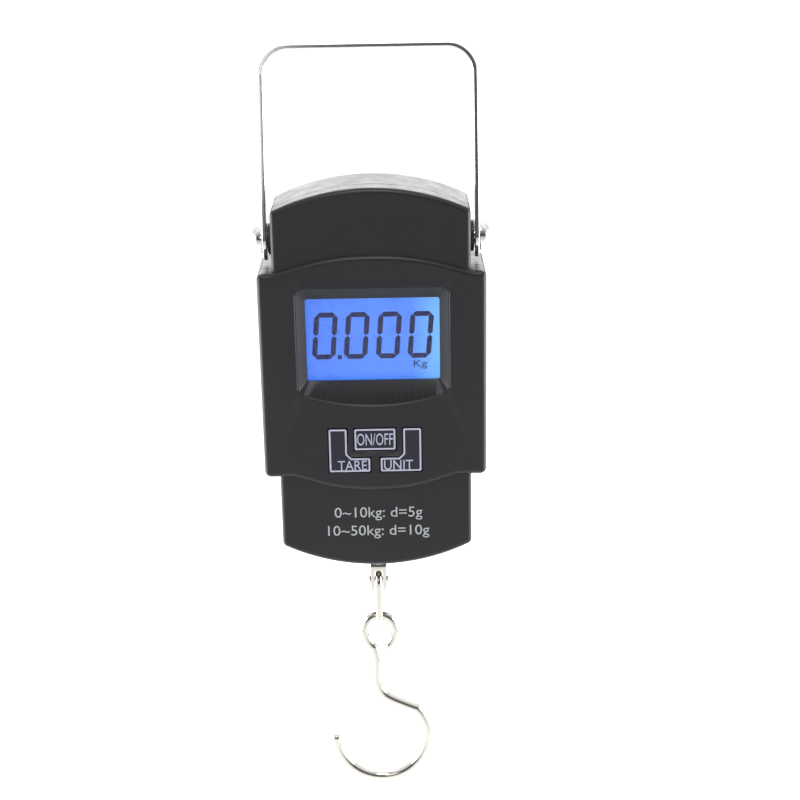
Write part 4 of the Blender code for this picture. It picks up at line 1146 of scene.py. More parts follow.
@dataclass(frozen=True)
class Window:
    """The display opening and the sloped frame round it, about the pivot."""

    half: float = 19.5 * MM
    top: float = -15.7 * MM
    bottom: float = -40.7 * MM
    floor: float = -10.2 * MM
    back: float = -9.3 * MM
    side: float = 2.7 * MM
    above: float = 4.0 * MM
    below: float = 3.7 * MM
    sag: float = 3.1 * MM
    corner: float = 2.4 * MM
    inner_corner: float = 0.8 * MM
    frame_wall: float = 1.6 * MM

    def outline(self, share: float, corner: float, extra: float = 0.0) -> list[Point2]:
        """The opening grown towards the frame's outer edge, counter-clockwise.

        Args:
            share: 0 at the opening, 1 at the frame's outer edge.
            corner: the corners' radius.
            extra: growth on every side.

        Returns:
            The outline's points.
        """
        half = self.half + self.side * share + extra
        top = self.top + self.above * share + extra
        bottom = self.bottom - self.below * share - extra
        steps = 10
        quarter = [math.pi / 2 * i / steps for i in range(steps + 1)]
        bends = [(corner * math.cos(a), corner * math.sin(a)) for a in quarter]
        points = [(half - corner + along, top - corner + across) for along, across in bends]
        points += [(corner - half - across, top - corner + along) for along, across in bends]
        points += [(corner - half - along, bottom + corner - across) for along, across in bends]
        reach = half - corner
        for i in range(1, 2 * steps):
            x = -reach * (1 - i / steps)
            points.append((x, bottom - self.sag * share * (1 - (x / reach) ** 2)))
        points += [(reach + corner * math.sin(a), bottom + corner - corner * math.cos(a)) for a in quarter]
        return points


WINDOW_FORM = Window()


@dataclass
class Casing:
    """The two moulded shells."""

    form: CasingForm = FORM
    window: Window = WINDOW_FORM
    well: float = 2.6 * MM
    well_wall: float = 1.0 * MM
    head_seat: float = 5.5 * MM
    post: float = 2.9 * MM
    post_hole: float = 1.4 * MM
    upper_posts: Point2 = (15.0 * MM, 9.2 * MM)
    lower_posts: Point2 = (23.4 * MM, -86.05 * MM)

    def posts(self) -> list[Point2]:
        """Where the four case screws go."""
        return [(sign * x, z) for x, z in (self.upper_posts, self.lower_posts) for sign in (-1, 1)]

    def half(self, name: str, face: float, band_face: float, rim: float) -> Object:
        """One half casing: section and band, rounded at the face, hollowed from the rim.

        Args:
            name: the shell's name.
            face: the section's outer face.
            band_face: the band's outer face.
            rim: where the half ends at the parting line.

        Returns:
            The hollow shell.
        """
        form = self.form
        inward = math.copysign(1.0, rim - face)
        shell = Bench.slab(name, form.section(), face, rim)
        Bench.round_edges(shell, lambda a, b: a.y == b.y and abs(a.y - face) < GAP, form.edge, 6)
        band = Bench.slab(f"{name}_band", form.band(), band_face, rim)
        Bench.round_edges(band, lambda a, b: a.y == b.y and abs(a.y - band_face) < GAP, form.edge, 6)
        Bench.boolean(shell, band, Join.ADD)
        beyond = rim + inward * MM
        floor, band_floor = face + inward * form.wall, band_face + inward * form.wall
        Bench.boolean(shell, Bench.slab("hollow", form.section(form.wall), floor, beyond), Join.CUT)
        Bench.boolean(shell, Bench.slab("band_hollow", form.band(form.wall), band_floor, beyond), Join.CUT)
        return shell

    def front(self) -> None:
        """The front shell with its display frame, key holes and posts."""
        form, window = self.form, self.window
        shell = self.half("front_casing", form.section_front, form.band_front, form.seam - GAP / 2)
        root = form.band_front + form.wall / 2
        frame_half = window.half + window.side + window.frame_wall
        low = (-frame_half, root, window.bottom - window.below - window.sag - window.frame_wall)
        high = (frame_half, window.back, window.top + window.above + window.frame_wall / 2)
        Bench.boolean(shell, Bench.block("display_frame", low, high), Join.ADD)
        over = 0.5 * MM
        steep = 1 + over / (window.floor - form.band_front)
        outer = window.outline(steep, window.corner)
        inner = window.outline(0.0, window.inner_corner)
        slope = Bench.loft("slope", outer, form.band_front - over, inner, window.floor)
        Bench.boolean(shell, slope, Join.CUT)
        lip = 0.35 * MM
        flare = Bench.loft(
            "flare",
            window.outline(1.0, window.corner, lip + over),
            form.band_front - over,
            window.outline(1.0, window.corner),
            form.band_front + 0.7 * lip,
        )
        Bench.boolean(shell, flare, Join.CUT)
        sight = Bench.slab("sight", inner, window.floor - over, window.back + over)
        Bench.boolean(shell, sight, Join.CUT)
        reach = (form.band_front - over, form.band_front + form.wall + over)
        holes = merged([Bench.slab("key_hole", key.outline(GAP), *reach) for key in KEY_SHAPES])
        Bench.boolean(shell, holes, Join.CUT)
        rim = form.seam - GAP / 2
        foot = form.section_front + form.wall / 2
        for place in self.posts():
            post = Bench.rod("post", self.post, foot, rim - GAP, Facing.Y, place, 32)
            Bench.boolean(shell, post, Join.ADD)
            hole = Bench.rod("post_hole", self.post_hole, rim - 4.8 * MM, rim + over, Facing.Y, place, 24)
            Bench.boolean(shell, hole, Join.CUT)
        settle(Bench.smooth(Bench.clean(shell)), "casing", MOULDED_BLACK, "front_shell")

    def rear(self) -> None:
        """The rear shell with its battery opening, screw wells, pivot bores and stem hole."""
        form = self.form
        rim = form.seam + GAP / 2
        shell = self.half("rear_casing", form.section_back, form.band_back, rim)
        over = 0.5 * MM
        door_low, door_high = (Vector(corner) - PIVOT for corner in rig.box("battery_cover"))
        opening = oblong(door_low.x - GAP, door_high.x + GAP, door_low.z - GAP, door_high.z + GAP)
        inside = form.section_back - form.wall - over
        tool = Bench.slab("opening", eased(opening, 1.3 * MM), inside, form.band_back + over)
        Bench.boolean(shell, tool, Join.CUT)
        foot = form.section_back - form.wall / 2
        for place in self.posts():
            post = Bench.rod("post", self.well + self.well_wall, rim + GAP, foot, Facing.Y, place)
            Bench.boolean(shell, post, Join.ADD)
            hole = Bench.rod("post_hole", self.post_hole, rim - over, form.section_back, Facing.Y, place, 32)
            Bench.boolean(shell, hole, Join.CUT)
            well = Bench.rod("well", self.well, self.head_seat, form.band_back, Facing.Y, place)
            Bench.boolean(shell, well, Join.CUT)
            ring = Bench.loft(
                "well_edge",
                oval(self.well, self.well, 48, place),
                form.section_back - GAP,
                oval(self.well + 2 * GAP, self.well + 2 * GAP, 48, place),
                form.section_back + GAP,
            )
            Bench.boolean(shell, ring, Join.CUT)
        reach = form.section_half + over
        Bench.boolean(shell, Bench.rod("pivot_bore", 2.3 * MM, -reach, reach, Facing.X), Join.CUT)
        stem = Bench.rod("stem_bore", 2.6 * MM, form.keel - over, form.keel + form.wall + over, Facing.Z)
        Bench.boolean(shell, stem, Join.CUT)
        settle(Bench.smooth(Bench.clean(shell)), "casing", MOULDED_BLACK, "rear_shell")

    def build(self) -> None:
        """Make both shells."""
        self.front()
        self.rear()


# Display


@dataclass
class DisplayUnit:
    """The window pane and the glass behind it, with its digits.

    Attributes:
        centres: the middles of the four digits.
        half_width: half a digit's width.
        top: the digits' upper edge.
        bottom: their lower edge.
        stroke: a segment's width.
        slant: how far the digits lean, as a share of their height.
        ink_y: the face of the segments.
        ink: their thickness.
    """

    centres: tuple[float, ...] = (-14.05 * MM, -4.72 * MM, 4.68 * MM, 14.0 * MM)
    half_width: float = 2.7 * MM
    top: float = -20.45 * MM
    bottom: float = -34.7 * MM
    stroke: float = 1.5 * MM
    slant: float = 0.083
    ink_y: float = -7.96 * MM
    ink: float = 0.04 * MM

    def lean(self, x: float, z: float, centre: float) -> Point2:
        """A point of a digit, leant over."""
        return (centre + x + self.slant * (z - (self.top + self.bottom) / 2), z)

    def bar(self, start: Point2, end: Point2, centre: float) -> list[Point2]:
        """A six-sided segment between two points of a digit.

        Args:
            start: one tip.
            end: the other tip.
            centre: the digit's middle.

        Returns:
            The segment's outline.
        """
        a, b = Vector(start), Vector(end)
        along = (b - a).normalized()
        across = Vector((-along.y, along.x)) * self.stroke / 2
        point = along * self.stroke / 2
        corners = (a, a + point + across, b - point + across, b, b - point - across, a + point - across)
        return [self.lean(corner.x, corner.y, centre) for corner in corners]

    def zero(self, centre: float) -> list[list[Point2]]:
        """The six segments of a nought."""
        half, gap = self.half_width, 0.05 * MM
        top, bottom = self.top - self.stroke / 2, self.bottom + self.stroke / 2
        middle = (top + bottom) / 2
        bars = [((gap - half, z), (half - gap, z)) for z in (top, bottom)]
        for x in (-half, half):
            bars += [((x, high - gap), (x, low + gap)) for high, low in ((top, middle), (middle, bottom))]
        return [self.bar(start, end, centre) for start, end in bars]

    def build(self) -> None:
        """Make the pane, the digits and the unit beside them."""
        low, high = (Vector(corner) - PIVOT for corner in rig.box("display_window"))
        pane = Bench.slab("display_pane", eased(oblong(low.x, high.x, low.z, high.z), MM), low.y, high.y)
        settle(Bench.smooth(Bench.soften(pane, 0.15 * MM)), "casing", WINDOW, "display_window")
        shapes = [shape for centre in self.centres for shape in self.zero(centre)]
        point = (self.centres[0] + self.centres[1]) / 2 - 0.45 * MM
        side = 0.62 * MM
        shapes.append(oblong(point - side, point + side, self.bottom, self.bottom + 2 * side))
        back = self.ink_y + self.ink
        digits = [Bench.slab("display_digits", shape, self.ink_y, back) for shape in shapes]
        settle(merged(digits), "casing", SEGMENT_INK)
        unit = Bench.words(
            "display_unit", "Kg", (13.8 * MM, -36.75 * MM), (4.0 * MM, 2.7 * MM), self.ink_y, self.ink
        )
        settle(unit, "casing", SEGMENT_INK)
        dress_node("lcd_glass", LIT_BLUE)


def merged(pieces: Sequence[Object]) -> Object:
    """Several pieces made one object, named after the first.

    Args:
        pieces: the pieces.

    Returns:
        The one object.
    """
    Bench.pick(pieces[0])
    for piece in pieces[1:]:
        piece.select_set(True)
    bpy.ops.object.join()
    return pieces[0]


# Keys and lettering


@dataclass(frozen=True)
class KeyShape:
    """One key: its body, what it says and its outline, about the pivot.

    Attributes:
        body: the body and node it stands for.
        label: what it says.
        label_middle: the label's middle.
        label_size: the label's width and height.
        corners: the outline's corners, each with the way it moves as the key grows.
    """

    body: str
    label: str
    label_middle: Point2
    label_size: Point2
    corners: tuple[tuple[Point2, Point2], ...]

    def outline(self, grow: float) -> list[Point2]:
        """The key's outline, grown all round."""
        return [(x + grow * dx, z + grow * dz) for (x, z), (dx, dz) in self.corners]


def upper_key() -> KeyShape:
    """The flat key between the two others."""
    half, top, bottom = 6.1 * MM, -54.7 * MM, -61.4 * MM
    corners = (
        ((half, top), (1, 1)),
        ((-half, top), (-1, 1)),
        ((-half, bottom), (-1, -1)),
        ((half, bottom), (1, -1)),
    )
    return KeyShape("key_on_off", "ON/OFF", (0.0, (top + bottom) / 2), (10.6 * MM, 3.7 * MM), corners)


def side_key(body: str, label: str, side: int) -> KeyShape:
    """An L-shaped key.

    Args:
        body: its body and node.
        label: what it says.
        side: -1 for the left key, 1 for the right one.

    Returns:
        The key's shape.
    """
    inner, outer, upright = 1.5 * MM, 13.7 * MM, 8.3 * MM
    top, bottom, foot, chamfer = -54.7 * MM, -68.3 * MM, -63.9 * MM, 1.3 * MM
    corners = (
        ((inner, bottom), (-1, -1)),
        ((outer, bottom), (1, -1)),
        ((outer, top), (1, 1)),
        ((upright, top), (-1, 1)),
        ((upright, foot + chamfer), (-1, 0.4)),
        ((upright - chamfer, foot), (-0.4, 1)),
        ((inner, foot), (-1, 1)),
    )
    turned = tuple(((side * x, z), (side * dx, dz)) for (x, z), (dx, dz) in corners)
    middle = (side * (inner + 5.35 * MM), (foot + bottom) / 2 - 0.1 * MM)
    return KeyShape(body, label, middle, (8.6 * MM, 3.0 * MM), turned)


KEY_SHAPES = (upper_key(), side_key("key_tare", "TARE", -1), side_key("key_unit", "UNIT", 1))


@dataclass
class KeyPad:
    """The three keys, each with a printed frame and label.

    Attributes:
        face: the front of the key caps.
        print_face: the front of the print.
        frame: width of the printed frame.
        margin: from the key's edge to the frame.
        flange: how far the flange stands out behind the wall.
    """

    face: float = -13.34 * MM
    print_face: float = -13.38 * MM
    frame: float = 0.5 * MM
    margin: float = 0.08 * MM
    flange: float = 0.6 * MM

    def build(self) -> None:
        """Make each key, its frame and its label."""
        back = FORM.band_front + FORM.wall + GAP
        for key in KEY_SHAPES:
            stem_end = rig.box(key.body)[1][1] - PIVOT.y
            outline = eased(key.outline(0.0), 0.5 * MM)
            cap = Bench.slab(key.body.replace("key", "cap"), outline, self.face, back + GAP)
            Bench.soften(cap, 0.22 * MM, 3)
            flange = Bench.slab("flange", eased(key.outline(self.flange), 0.5 * MM), back, back + 0.8 * MM)
            Bench.boolean(cap, flange, Join.ADD)
            stem = Bench.rod("stem", 1.3 * MM, back + GAP, stem_end, Facing.Y, self.switch(key), 32)
            Bench.boolean(cap, stem, Join.ADD)
            settle(Bench.smooth(Bench.clean(cap)), key.body, KEY_NAVY, key.body)
            outline = eased(key.outline(-self.margin), 0.45 * MM)
            border = Bench.slab(key.body.replace("key", "frame"), outline, self.print_face, self.face)
            inside = eased(key.outline(-self.margin - self.frame), 0.2 * MM)
            hole = Bench.slab("inside", inside, self.print_face - MM, self.face + MM)
            settle(Bench.boolean(border, hole, Join.CUT), key.body, KEY_INK)
            label = Bench.words(
                key.body.replace("key", "label"),
                key.label,
                key.label_middle,
                key.label_size,
                self.print_face,
                self.face - self.print_face,
            )
            settle(label, key.body, KEY_INK)

    def switch(self, key: KeyShape) -> Point2:
        """The middle of the switch behind a key, across and up."""
        low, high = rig.box(key.body.replace("key", "switch"))
        middle = (Vector(low) + Vector(high)) / 2 - PIVOT
        return (middle.x, middle.z)


@dataclass
class CapacityPrint:
    """Two printed lines on the lower section that give range and step."""

    face: float = -12.03 * MM
    thickness: float = 0.03 * MM

    def build(self) -> None:
        """Print both lines."""
        lines = (
            ("print_upper", "0~10kg: d=5g", (0.55 * MM, -82.4 * MM), (26.4 * MM, 4.3 * MM)),
            ("print_lower", "10~50kg: d=10g", (0.5 * MM, -88.3 * MM), (30.6 * MM, 4.3 * MM)),
        )
        for name, text, middle, size in lines:
            settle(Bench.words(name, text, middle, size, self.face, self.thickness), "casing", CASE_INK)


# Handle and pivot


@dataclass
class Bail:
    """The flat strip bent to a U that the casing swings in."""

    inside: float = 30.1 * MM
    outside: float = 31.35 * MM
    length: float = 55.0 * MM
    underside: float = 53.75 * MM
    corner: float = 8.8 * MM
    width: float = 12.5 * MM
    hole: float = 2.3 * MM
    lean: float = math.radians(13.0)

    def bend(self, half: float, top: float, radius: float) -> list[Point2]:
        """One edge of the U, from the right foot over the bar to the left foot.

        Args:
            half: half the edge's width.
            top: its height over the pivot.
            radius: its corners' radius.

        Returns:
            The edge's points.
        """
        steps = 20
        right = [
            (half - radius + radius * math.cos(a), top - radius + radius * math.sin(a))
            for a in (math.pi / 2 * i / steps for i in range(steps + 1))
        ]
        left = [(-x, z) for x, z in reversed(right)]
        return [(half, -self.width), *right, *left, (-half, -self.width)]

    def build(self) -> None:
        """Bend the strip, round its feet, drill it and break its edges."""
        thickness = self.outside - self.inside
        outer = self.bend(self.outside, self.length, self.corner)
        inner = self.bend(self.inside, self.underside, self.corner - thickness)
        strip = Bench.slab("bail_handle", [*outer, *reversed(inner)], -self.width, self.width)
        half, steps = self.width / 2, 40
        feet = [(half, self.length + MM), (-half, self.length + MM)]
        feet += [
            (half * math.cos(a), half * math.sin(a))
            for a in (math.pi + math.pi * i / steps for i in range(steps + 1))
        ]
        reach = self.outside + MM
        Bench.boolean(strip, Bench.slab("width", feet, -reach, reach, Facing.X), Join.KEEP)
        Bench.boolean(strip, Bench.rod("hole", self.hole, -reach, reach, Facing.X), Join.CUT)
        Bench.soften(Bench.clean(strip), 0.28 * MM, 3)
        lean = Matrix.Translation(PIVOT) @ Matrix.Rotation(-self.lean, 4, "X")
        settle(Bench.smooth(strip), "handle", CHROME, "handle_strap", move=lean)


@dataclass
class PivotHardware:
    """Domed screws through the handle's feet, each with a washer inside the foot."""

    head: float = 4.2 * MM
    height: float = 3.2 * MM
    shank: float = 2.0 * MM
    washer: float = 4.6 * MM

    def screw(self) -> Object:
        """A domed screw with a cross recess, its seat at the origin and its head up Z."""
        end = -(31.55 * MM - 18.0 * MM)
        steps = 14
        dome = [
            (self.head * math.sin(a) ** 0.8, self.height * math.cos(a) ** 0.8)
            for a in (math.pi / 2 * i / steps for i in range(steps))
        ]
        dome[0] = (0.0, self.height)
        skirt = 0.14 * self.height
        profile = [
            *dome,
            (self.head, skirt),
            (self.head, 0.2 * skirt),
            (self.head - 0.1 * MM, 0.0),
            (self.shank, 0.0),
            (self.shank, end + GAP),
            (self.shank - GAP, end),
            (0.0, end),
        ]
        screw = Bench.lathe("pivot_screw", profile, 64)
        return cross_recess(screw, self.height, 4.4 * MM, 0.8 * MM, 1.3 * MM)

    def build(self) -> None:
        """Make both screws and both washers."""
        first = self.screw()
        for side, sign in (("left", -1), ("right", 1)):
            low, high = (Vector(corner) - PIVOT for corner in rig.box(f"pivot_screw_{side}"))
            tip = low.x if sign < 0 else high.x
            seat = Matrix.Translation((tip - sign * self.height, 0.0, 0.0))
            turn = seat @ Matrix.Rotation(sign * math.pi / 2, 4, "Y")
            screw = Bench.copy(first, f"dome_screw_{side}", turn)
            settle(Bench.smooth(screw), "casing", CHROME, f"pivot_screw_{side}")
            low, high = (Vector(corner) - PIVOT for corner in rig.box(f"pivot_washer_{side}"))
            thick = high.x - low.x
            bore = 2.3 * MM
            corners = [(bore, 0.0), (self.washer, 0.0), (self.washer, thick), (bore, thick)]
            turn = Matrix.Translation((low.x, 0.0, 0.0)) @ Matrix.Rotation(math.pi / 2, 4, "Y")
            washer = spun_ring(f"washer_{side}", eased(corners, 0.2 * MM, 4), turn)
            settle(Bench.smooth(washer), "casing", DARK_NYLON, f"pivot_washer_{side}")
        bpy.data.objects.remove(first)


def spun_ring(name: str, section: Sequence[Point2], turn: Matrix, steps: int = 64) -> Object:
    """A closed section spun round the Z axis.

    Args:
        name: the piece's name.
        section: (radius, height) points, none on the axis.
        turn: where the ring goes.
        steps: faces round it.

    Returns:
        The ring.
    """
    ring = Bench.rim(name, [(radius, 0.0, height) for radius, height in section], filled=False)
    Bench.edit(
        ring,
        lambda: bpy.ops.mesh.spin(
            steps=steps, angle=math.tau, center=(0.0, 0.0, 0.0), axis=(0.0, 0.0, 1.0), use_auto_merge=True
        ),
    )
    ring.data.transform(turn)
    return Bench.clean(ring)


def cross_recess(piece: Object, top: float, length: float, width: float, depth: float) -> Object:
    """Cut a cross recess into a head that faces up Z.

    Args:
        piece: the screw.
        top: the head's highest point.
        length: the cross's length at the top.
        width: its arms' width.
        depth: its depth.

    Returns:
        The screw.
    """
    floor, over = top - depth, 0.5 * MM
    for flip in (False, True):
        half, thin = length / 2, width / 2
        wedge = [(-0.45 * half, floor), (0.45 * half, floor), (half, top + over), (-half, top + over)]
        arm = Bench.slab("recess", wedge, -thin, thin, Facing.X if flip else Facing.Y)
        Bench.boolean(piece, arm, Join.CUT)
    return Bench.clean(piece)


# Hook, link and clevis


@dataclass
class HookTrain:
    """What hangs below the casing: clevis, pin, lock nut, link and hook."""

    clevis_half: float = 2.4 * MM
    clevis_depth: float = 2.5 * MM
    clevis_top: float = -103.0 * MM
    clevis_bottom: float = -113.4 * MM
    slot: float = 1.3 * MM
    slot_top: float = -105.7 * MM
    pin: float = -109.6 * MM
    stem: float = 2.0 * MM
    link_wire: float = 1.0 * MM
    link_half: float = 3.1 * MM
    link_top: float = 2.4 * MM
    link_foot: float = -15.2 * MM
    hook_wire: float = 1.5 * MM
    eye_half_width: float = 4.7 * MM
    eye_half_height: float = 6.0 * MM
    eye: float = -128.0 * MM
    neck: float = 1.2 * MM
    bowl_drop: float = 37.4 * MM
    bowl: float = 14.8 * MM
    shank_bend: tuple[Point2, ...] = ((0.2, 3.0), (1.0, 5.4), (2.8, 7.4), (6.4, 9.4))

    def clevis(self) -> None:
        """The fork with its stem."""
        outline = eased(
            oblong(-self.clevis_depth, self.clevis_depth, self.clevis_bottom, self.clevis_top), 1.7 * MM, 10
        )
        fork = Bench.slab("hook_fork", outline, -self.clevis_half, self.clevis_half, Facing.X)
        stem_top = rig.box("hook_clevis")[1][2] - PIVOT.z
        profile = [
            (0.0, stem_top),
            (self.stem - GAP, stem_top),
            (self.stem, stem_top - GAP),
            (self.stem, self.clevis_top + 2 * GAP),
            (self.stem + 0.15 * MM, self.clevis_top + GAP),
            (self.stem + 0.15 * MM, self.clevis_top - MM),
            (0.0, self.clevis_top - MM),
        ]
        Bench.boolean(fork, Bench.lathe("stem", profile), Join.ADD)
        deep = 2 * self.clevis_depth
        low, high = (-self.slot, -deep, self.clevis_bottom - MM), (self.slot, deep, self.slot_top)
        slot = Bench.block("slot", low, high)
        Bench.boolean(fork, slot, Join.CUT)
        reach = 2 * self.clevis_half
        hole = Bench.rod("pin_hole", 1.4 * MM, -reach, reach, Facing.X, (0.0, self.pin))
        Bench.boolean(fork, hole, Join.CUT)
        Bench.soften(Bench.clean(fork), 0.18 * MM, 2)
        settle(Bench.smooth(fork), "casing", NICKEL, "hook_clevis")

    def cross_pin(self) -> None:
        """The riveted pin through the fork."""
        head, end, wide, thin = 2.7 * MM, 3.2 * MM, 1.7 * MM, 1.1 * MM
        half = [(0.0, end), (0.5 * wide, end - 0.03 * MM), (0.82 * wide, end - 0.14 * MM)]
        half += [(wide, end - 0.34 * MM), (wide, head), (thin, head)]
        profile = [*half, *((radius, -height) for radius, height in reversed(half))]
        turn = Matrix.Translation((0.0, 0.0, self.pin)) @ Matrix.Rotation(math.pi / 2, 4, "Y")
        settle(Bench.smooth(Bench.lathe("cross_pin", profile, 40, turn)), "casing", NICKEL, "clevis_pin")

    def lock_nut(self) -> None:
        """The hexagon nut under the casing, its corners turned off."""
        low, high = (Vector(corner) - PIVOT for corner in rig.box("lock_nut"))
        corner = high.x
        sixths = [math.radians(60 * i) for i in range(6)]
        flats = [(corner * math.cos(a), corner * math.sin(a)) for a in sixths]
        nut = Bench.slab("hex_nut", flats, low.z, high.z, Facing.Z)
        flat = corner * math.cos(math.radians(30))
        bevel = 0.35 * MM
        profile = [
            (0.0, low.z),
            (flat, low.z),
            (corner + GAP, low.z + bevel + GAP / 2),
            (corner + GAP, high.z - bevel - GAP / 2),
            (flat, high.z),
            (0.0, high.z),
        ]
        Bench.boolean(nut, Bench.lathe("turning", profile, 72), Join.KEEP)
        Bench.boolean(nut, Bench.rod("bore", 2.3 * MM, low.z - MM, high.z + MM, Facing.Z), Join.CUT)
        settle(Bench.smooth(Bench.clean(nut), 25.0), "casing", ZINC, "lock_nut")

    def link(self) -> None:
        """The welded oval link, seen edge-on from the front."""
        top, foot, steps = self.link_top - self.link_half, self.link_foot + self.link_half, 28
        path = []
        for middle, start in ((top, 0.0), (foot, math.pi)):
            for i in range(steps + 1):
                a = start + math.pi * i / steps
                y, z = self.link_half * math.cos(a), middle + self.link_half * math.sin(a)
                path.append((0.0, y, z + self.pin))
        link = Bench.wire("oval_link", path, [self.link_wire] * len(path), closed=True, sides=6)
        settle(Bench.smooth(link, 60.0), "link", NICKEL, "hook_link")

    def hook_path(self) -> list[Point2]:
        """The hook's centre line from the eye's end to the tip."""
        start, end, steps = math.radians(-72), math.radians(243), 72
        turns = (start + (end - start) * i / steps for i in range(steps + 1))
        wide, tall = self.eye_half_width, self.eye_half_height
        path = [(wide * math.cos(a), self.eye + tall * math.sin(a)) for a in turns]
        bowl, bowl_start, bowl_end = self.eye - self.bowl_drop, math.radians(42), math.radians(-184)
        first = (self.bowl * math.cos(bowl_start), bowl + self.bowl * math.sin(bowl_start))
        foot = self.eye - 15.5 * MM
        neck = (
            path.pop(),
            (-self.neck, self.eye - 10.0 * MM),
            (-self.neck, foot),
            *((-self.neck + right * MM, foot - down * MM) for right, down in self.shank_bend),
            first,
        )
        path += smooth_path(neck, 12)
        steps = 96
        turns = (bowl_start + (bowl_end - bowl_start) * i / steps for i in range(1, steps + 1))
        return [*path, *((self.bowl * math.cos(a), bowl + self.bowl * math.sin(a)) for a in turns)]

    def cap(self, tip: Point2, before: Point2) -> list[tuple[Point2, float]]:
        """Places and radii that round the wire off at its tip.

        Args:
            tip: the wire's end.
            before: the next point of the wire.

        Returns:
            The places from the tip inwards, each with the wire's radius there.
        """
        here, back, steps = Vector(tip), (Vector(before) - Vector(tip)).normalized(), 6
        cap = []
        for i in range(steps + 1):
            a = math.pi / 2 * i / steps
            spot = here + back * self.hook_wire * (1 - math.cos(a))
            cap.append(((spot.x, spot.y), max(self.hook_wire * math.sin(a), 0.15 * MM)))
        return cap

    def hook(self) -> None:
        """The bent wire hook with rounded ends."""
        path = self.hook_path()
        ends = (path[0], path[-1])
        keep = [spot for spot in path if min(math.dist(spot, end) for end in ends) > self.hook_wire]
        first, last = self.cap(path[0], path[1]), self.cap(path[-1], path[-2])
        line = [*first, *((spot, self.hook_wire) for spot in keep), *reversed(last)]
        places = [(x, 0.0, z) for (x, z), _ in line]
        hook = Bench.wire("wire_hook", places, [radius for _, radius in line], sides=7)
        settle(Bench.smooth(hook, 60.0), "hook", NICKEL, "hook")

    def build(self) -> None:
        """Make every piece of the train."""
        self.clevis()
        self.cross_pin()
        self.lock_nut()
        self.link()
        self.hook()


# Back and inside


@dataclass
class BatteryDoor:
    """The cover on the back, with grip ribs and a shallow thumb dish.

    Attributes:
        plate_back: how far the plate stays inside the ribs' tops.
        ribs: how many ribs.
        rib_half: half a rib's length.
        rib_pitch: from rib to rib.
    """

    plate_back: float = 0.3 * MM
    ribs: int = 6
    rib_half: float = 9.0 * MM
    rib_pitch: float = 1.6 * MM

    def build(self) -> None:
        """Make the cover."""
        low, high = (Vector(corner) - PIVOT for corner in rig.box("battery_cover"))
        face = high.y - self.plate_back
        door = Bench.slab("battery_door", eased(oblong(low.x, high.x, low.z, high.z), 1.2 * MM), low.y, face)
        Bench.soften(door, 0.3 * MM, 3)
        foot = low.z + 3.6 * MM
        panel_high = foot + self.ribs * self.rib_pitch + 1.4 * MM
        panel = oblong(-self.rib_half - 1.8 * MM, self.rib_half + 1.8 * MM, foot - 1.4 * MM, panel_high)
        dish = Bench.loft(
            "dish",
            eased(panel, 2.2 * MM, 8),
            face + 0.2 * MM,
            eased([(0.93 * x, z + 0.05 * (foot + 3 * MM - z)) for x, z in panel], 2.2 * MM, 8),
            face - 0.35 * MM,
        )
        Bench.boolean(door, dish, Join.CUT)
        for i in range(self.ribs):
            z = foot + i * self.rib_pitch
            bar = eased(oblong(-self.rib_half, self.rib_half, z, z + 0.75 * MM), 0.37 * MM, 5)
            rib = Bench.slab("rib", bar, face - MM, high.y)
            Bench.round_edges(rib, lambda a, b: a.y == b.y and abs(a.y - high.y) < 0.05 * MM, 0.2 * MM, 3)
            Bench.boolean(door, rib, Join.ADD)
        settle(Bench.smooth(Bench.clean(door)), "battery_cover", DOOR_BLACK, "battery_cover")


@dataclass
class CaseScrews:
    """The four pan-head screws in the wells of the rear shell."""

    head: float = 2.3 * MM
    height: float = 1.6 * MM
    shank: float = 1.1 * MM

    def build(self) -> None:
        """Model one screw and copy it to each well."""
        low, high = (Vector(corner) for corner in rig.box("case_screw_top_left"))
        length = high.y - low.y - self.height
        steps = 8
        dome = [
            (self.head * math.sin(a) ** 0.7, self.height * (0.35 + 0.65 * math.cos(a) ** 0.8))
            for a in (math.pi / 2 * i / steps for i in range(1, steps))
        ]
        thread = []
        for i in range(9):
            z = -1.0 * MM - i * 0.7 * MM
            thread += [(self.shank, z), (0.78 * self.shank, z - 0.3 * MM)]
        profile = [(0.0, self.height), *dome, (self.head, 0.3 * self.height), (self.head, 0.0), (self.shank, 0.0)]
        profile += [*thread, (0.78 * self.shank, -length + self.shank), (0.0, -length)]
        first = cross_recess(Bench.lathe("case_screw", profile, 40), self.height, 2.7 * MM, 0.55 * MM, 0.9 * MM)
        for side in ("top_left", "top_right", "bottom_left", "bottom_right"):
            low, high = (Vector(corner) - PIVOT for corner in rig.box(f"case_screw_{side}"))
            seat = Matrix.Translation(((low.x + high.x) / 2, high.y - self.height, (low.z + high.z) / 2))
            screw = Bench.copy(first, f"well_screw_{side}", seat @ Matrix.Rotation(-math.pi / 2, 4, "X"))
            settle(Bench.smooth(screw), "casing", ZINC, f"case_screw_{side}")
        bpy.data.objects.remove(first)


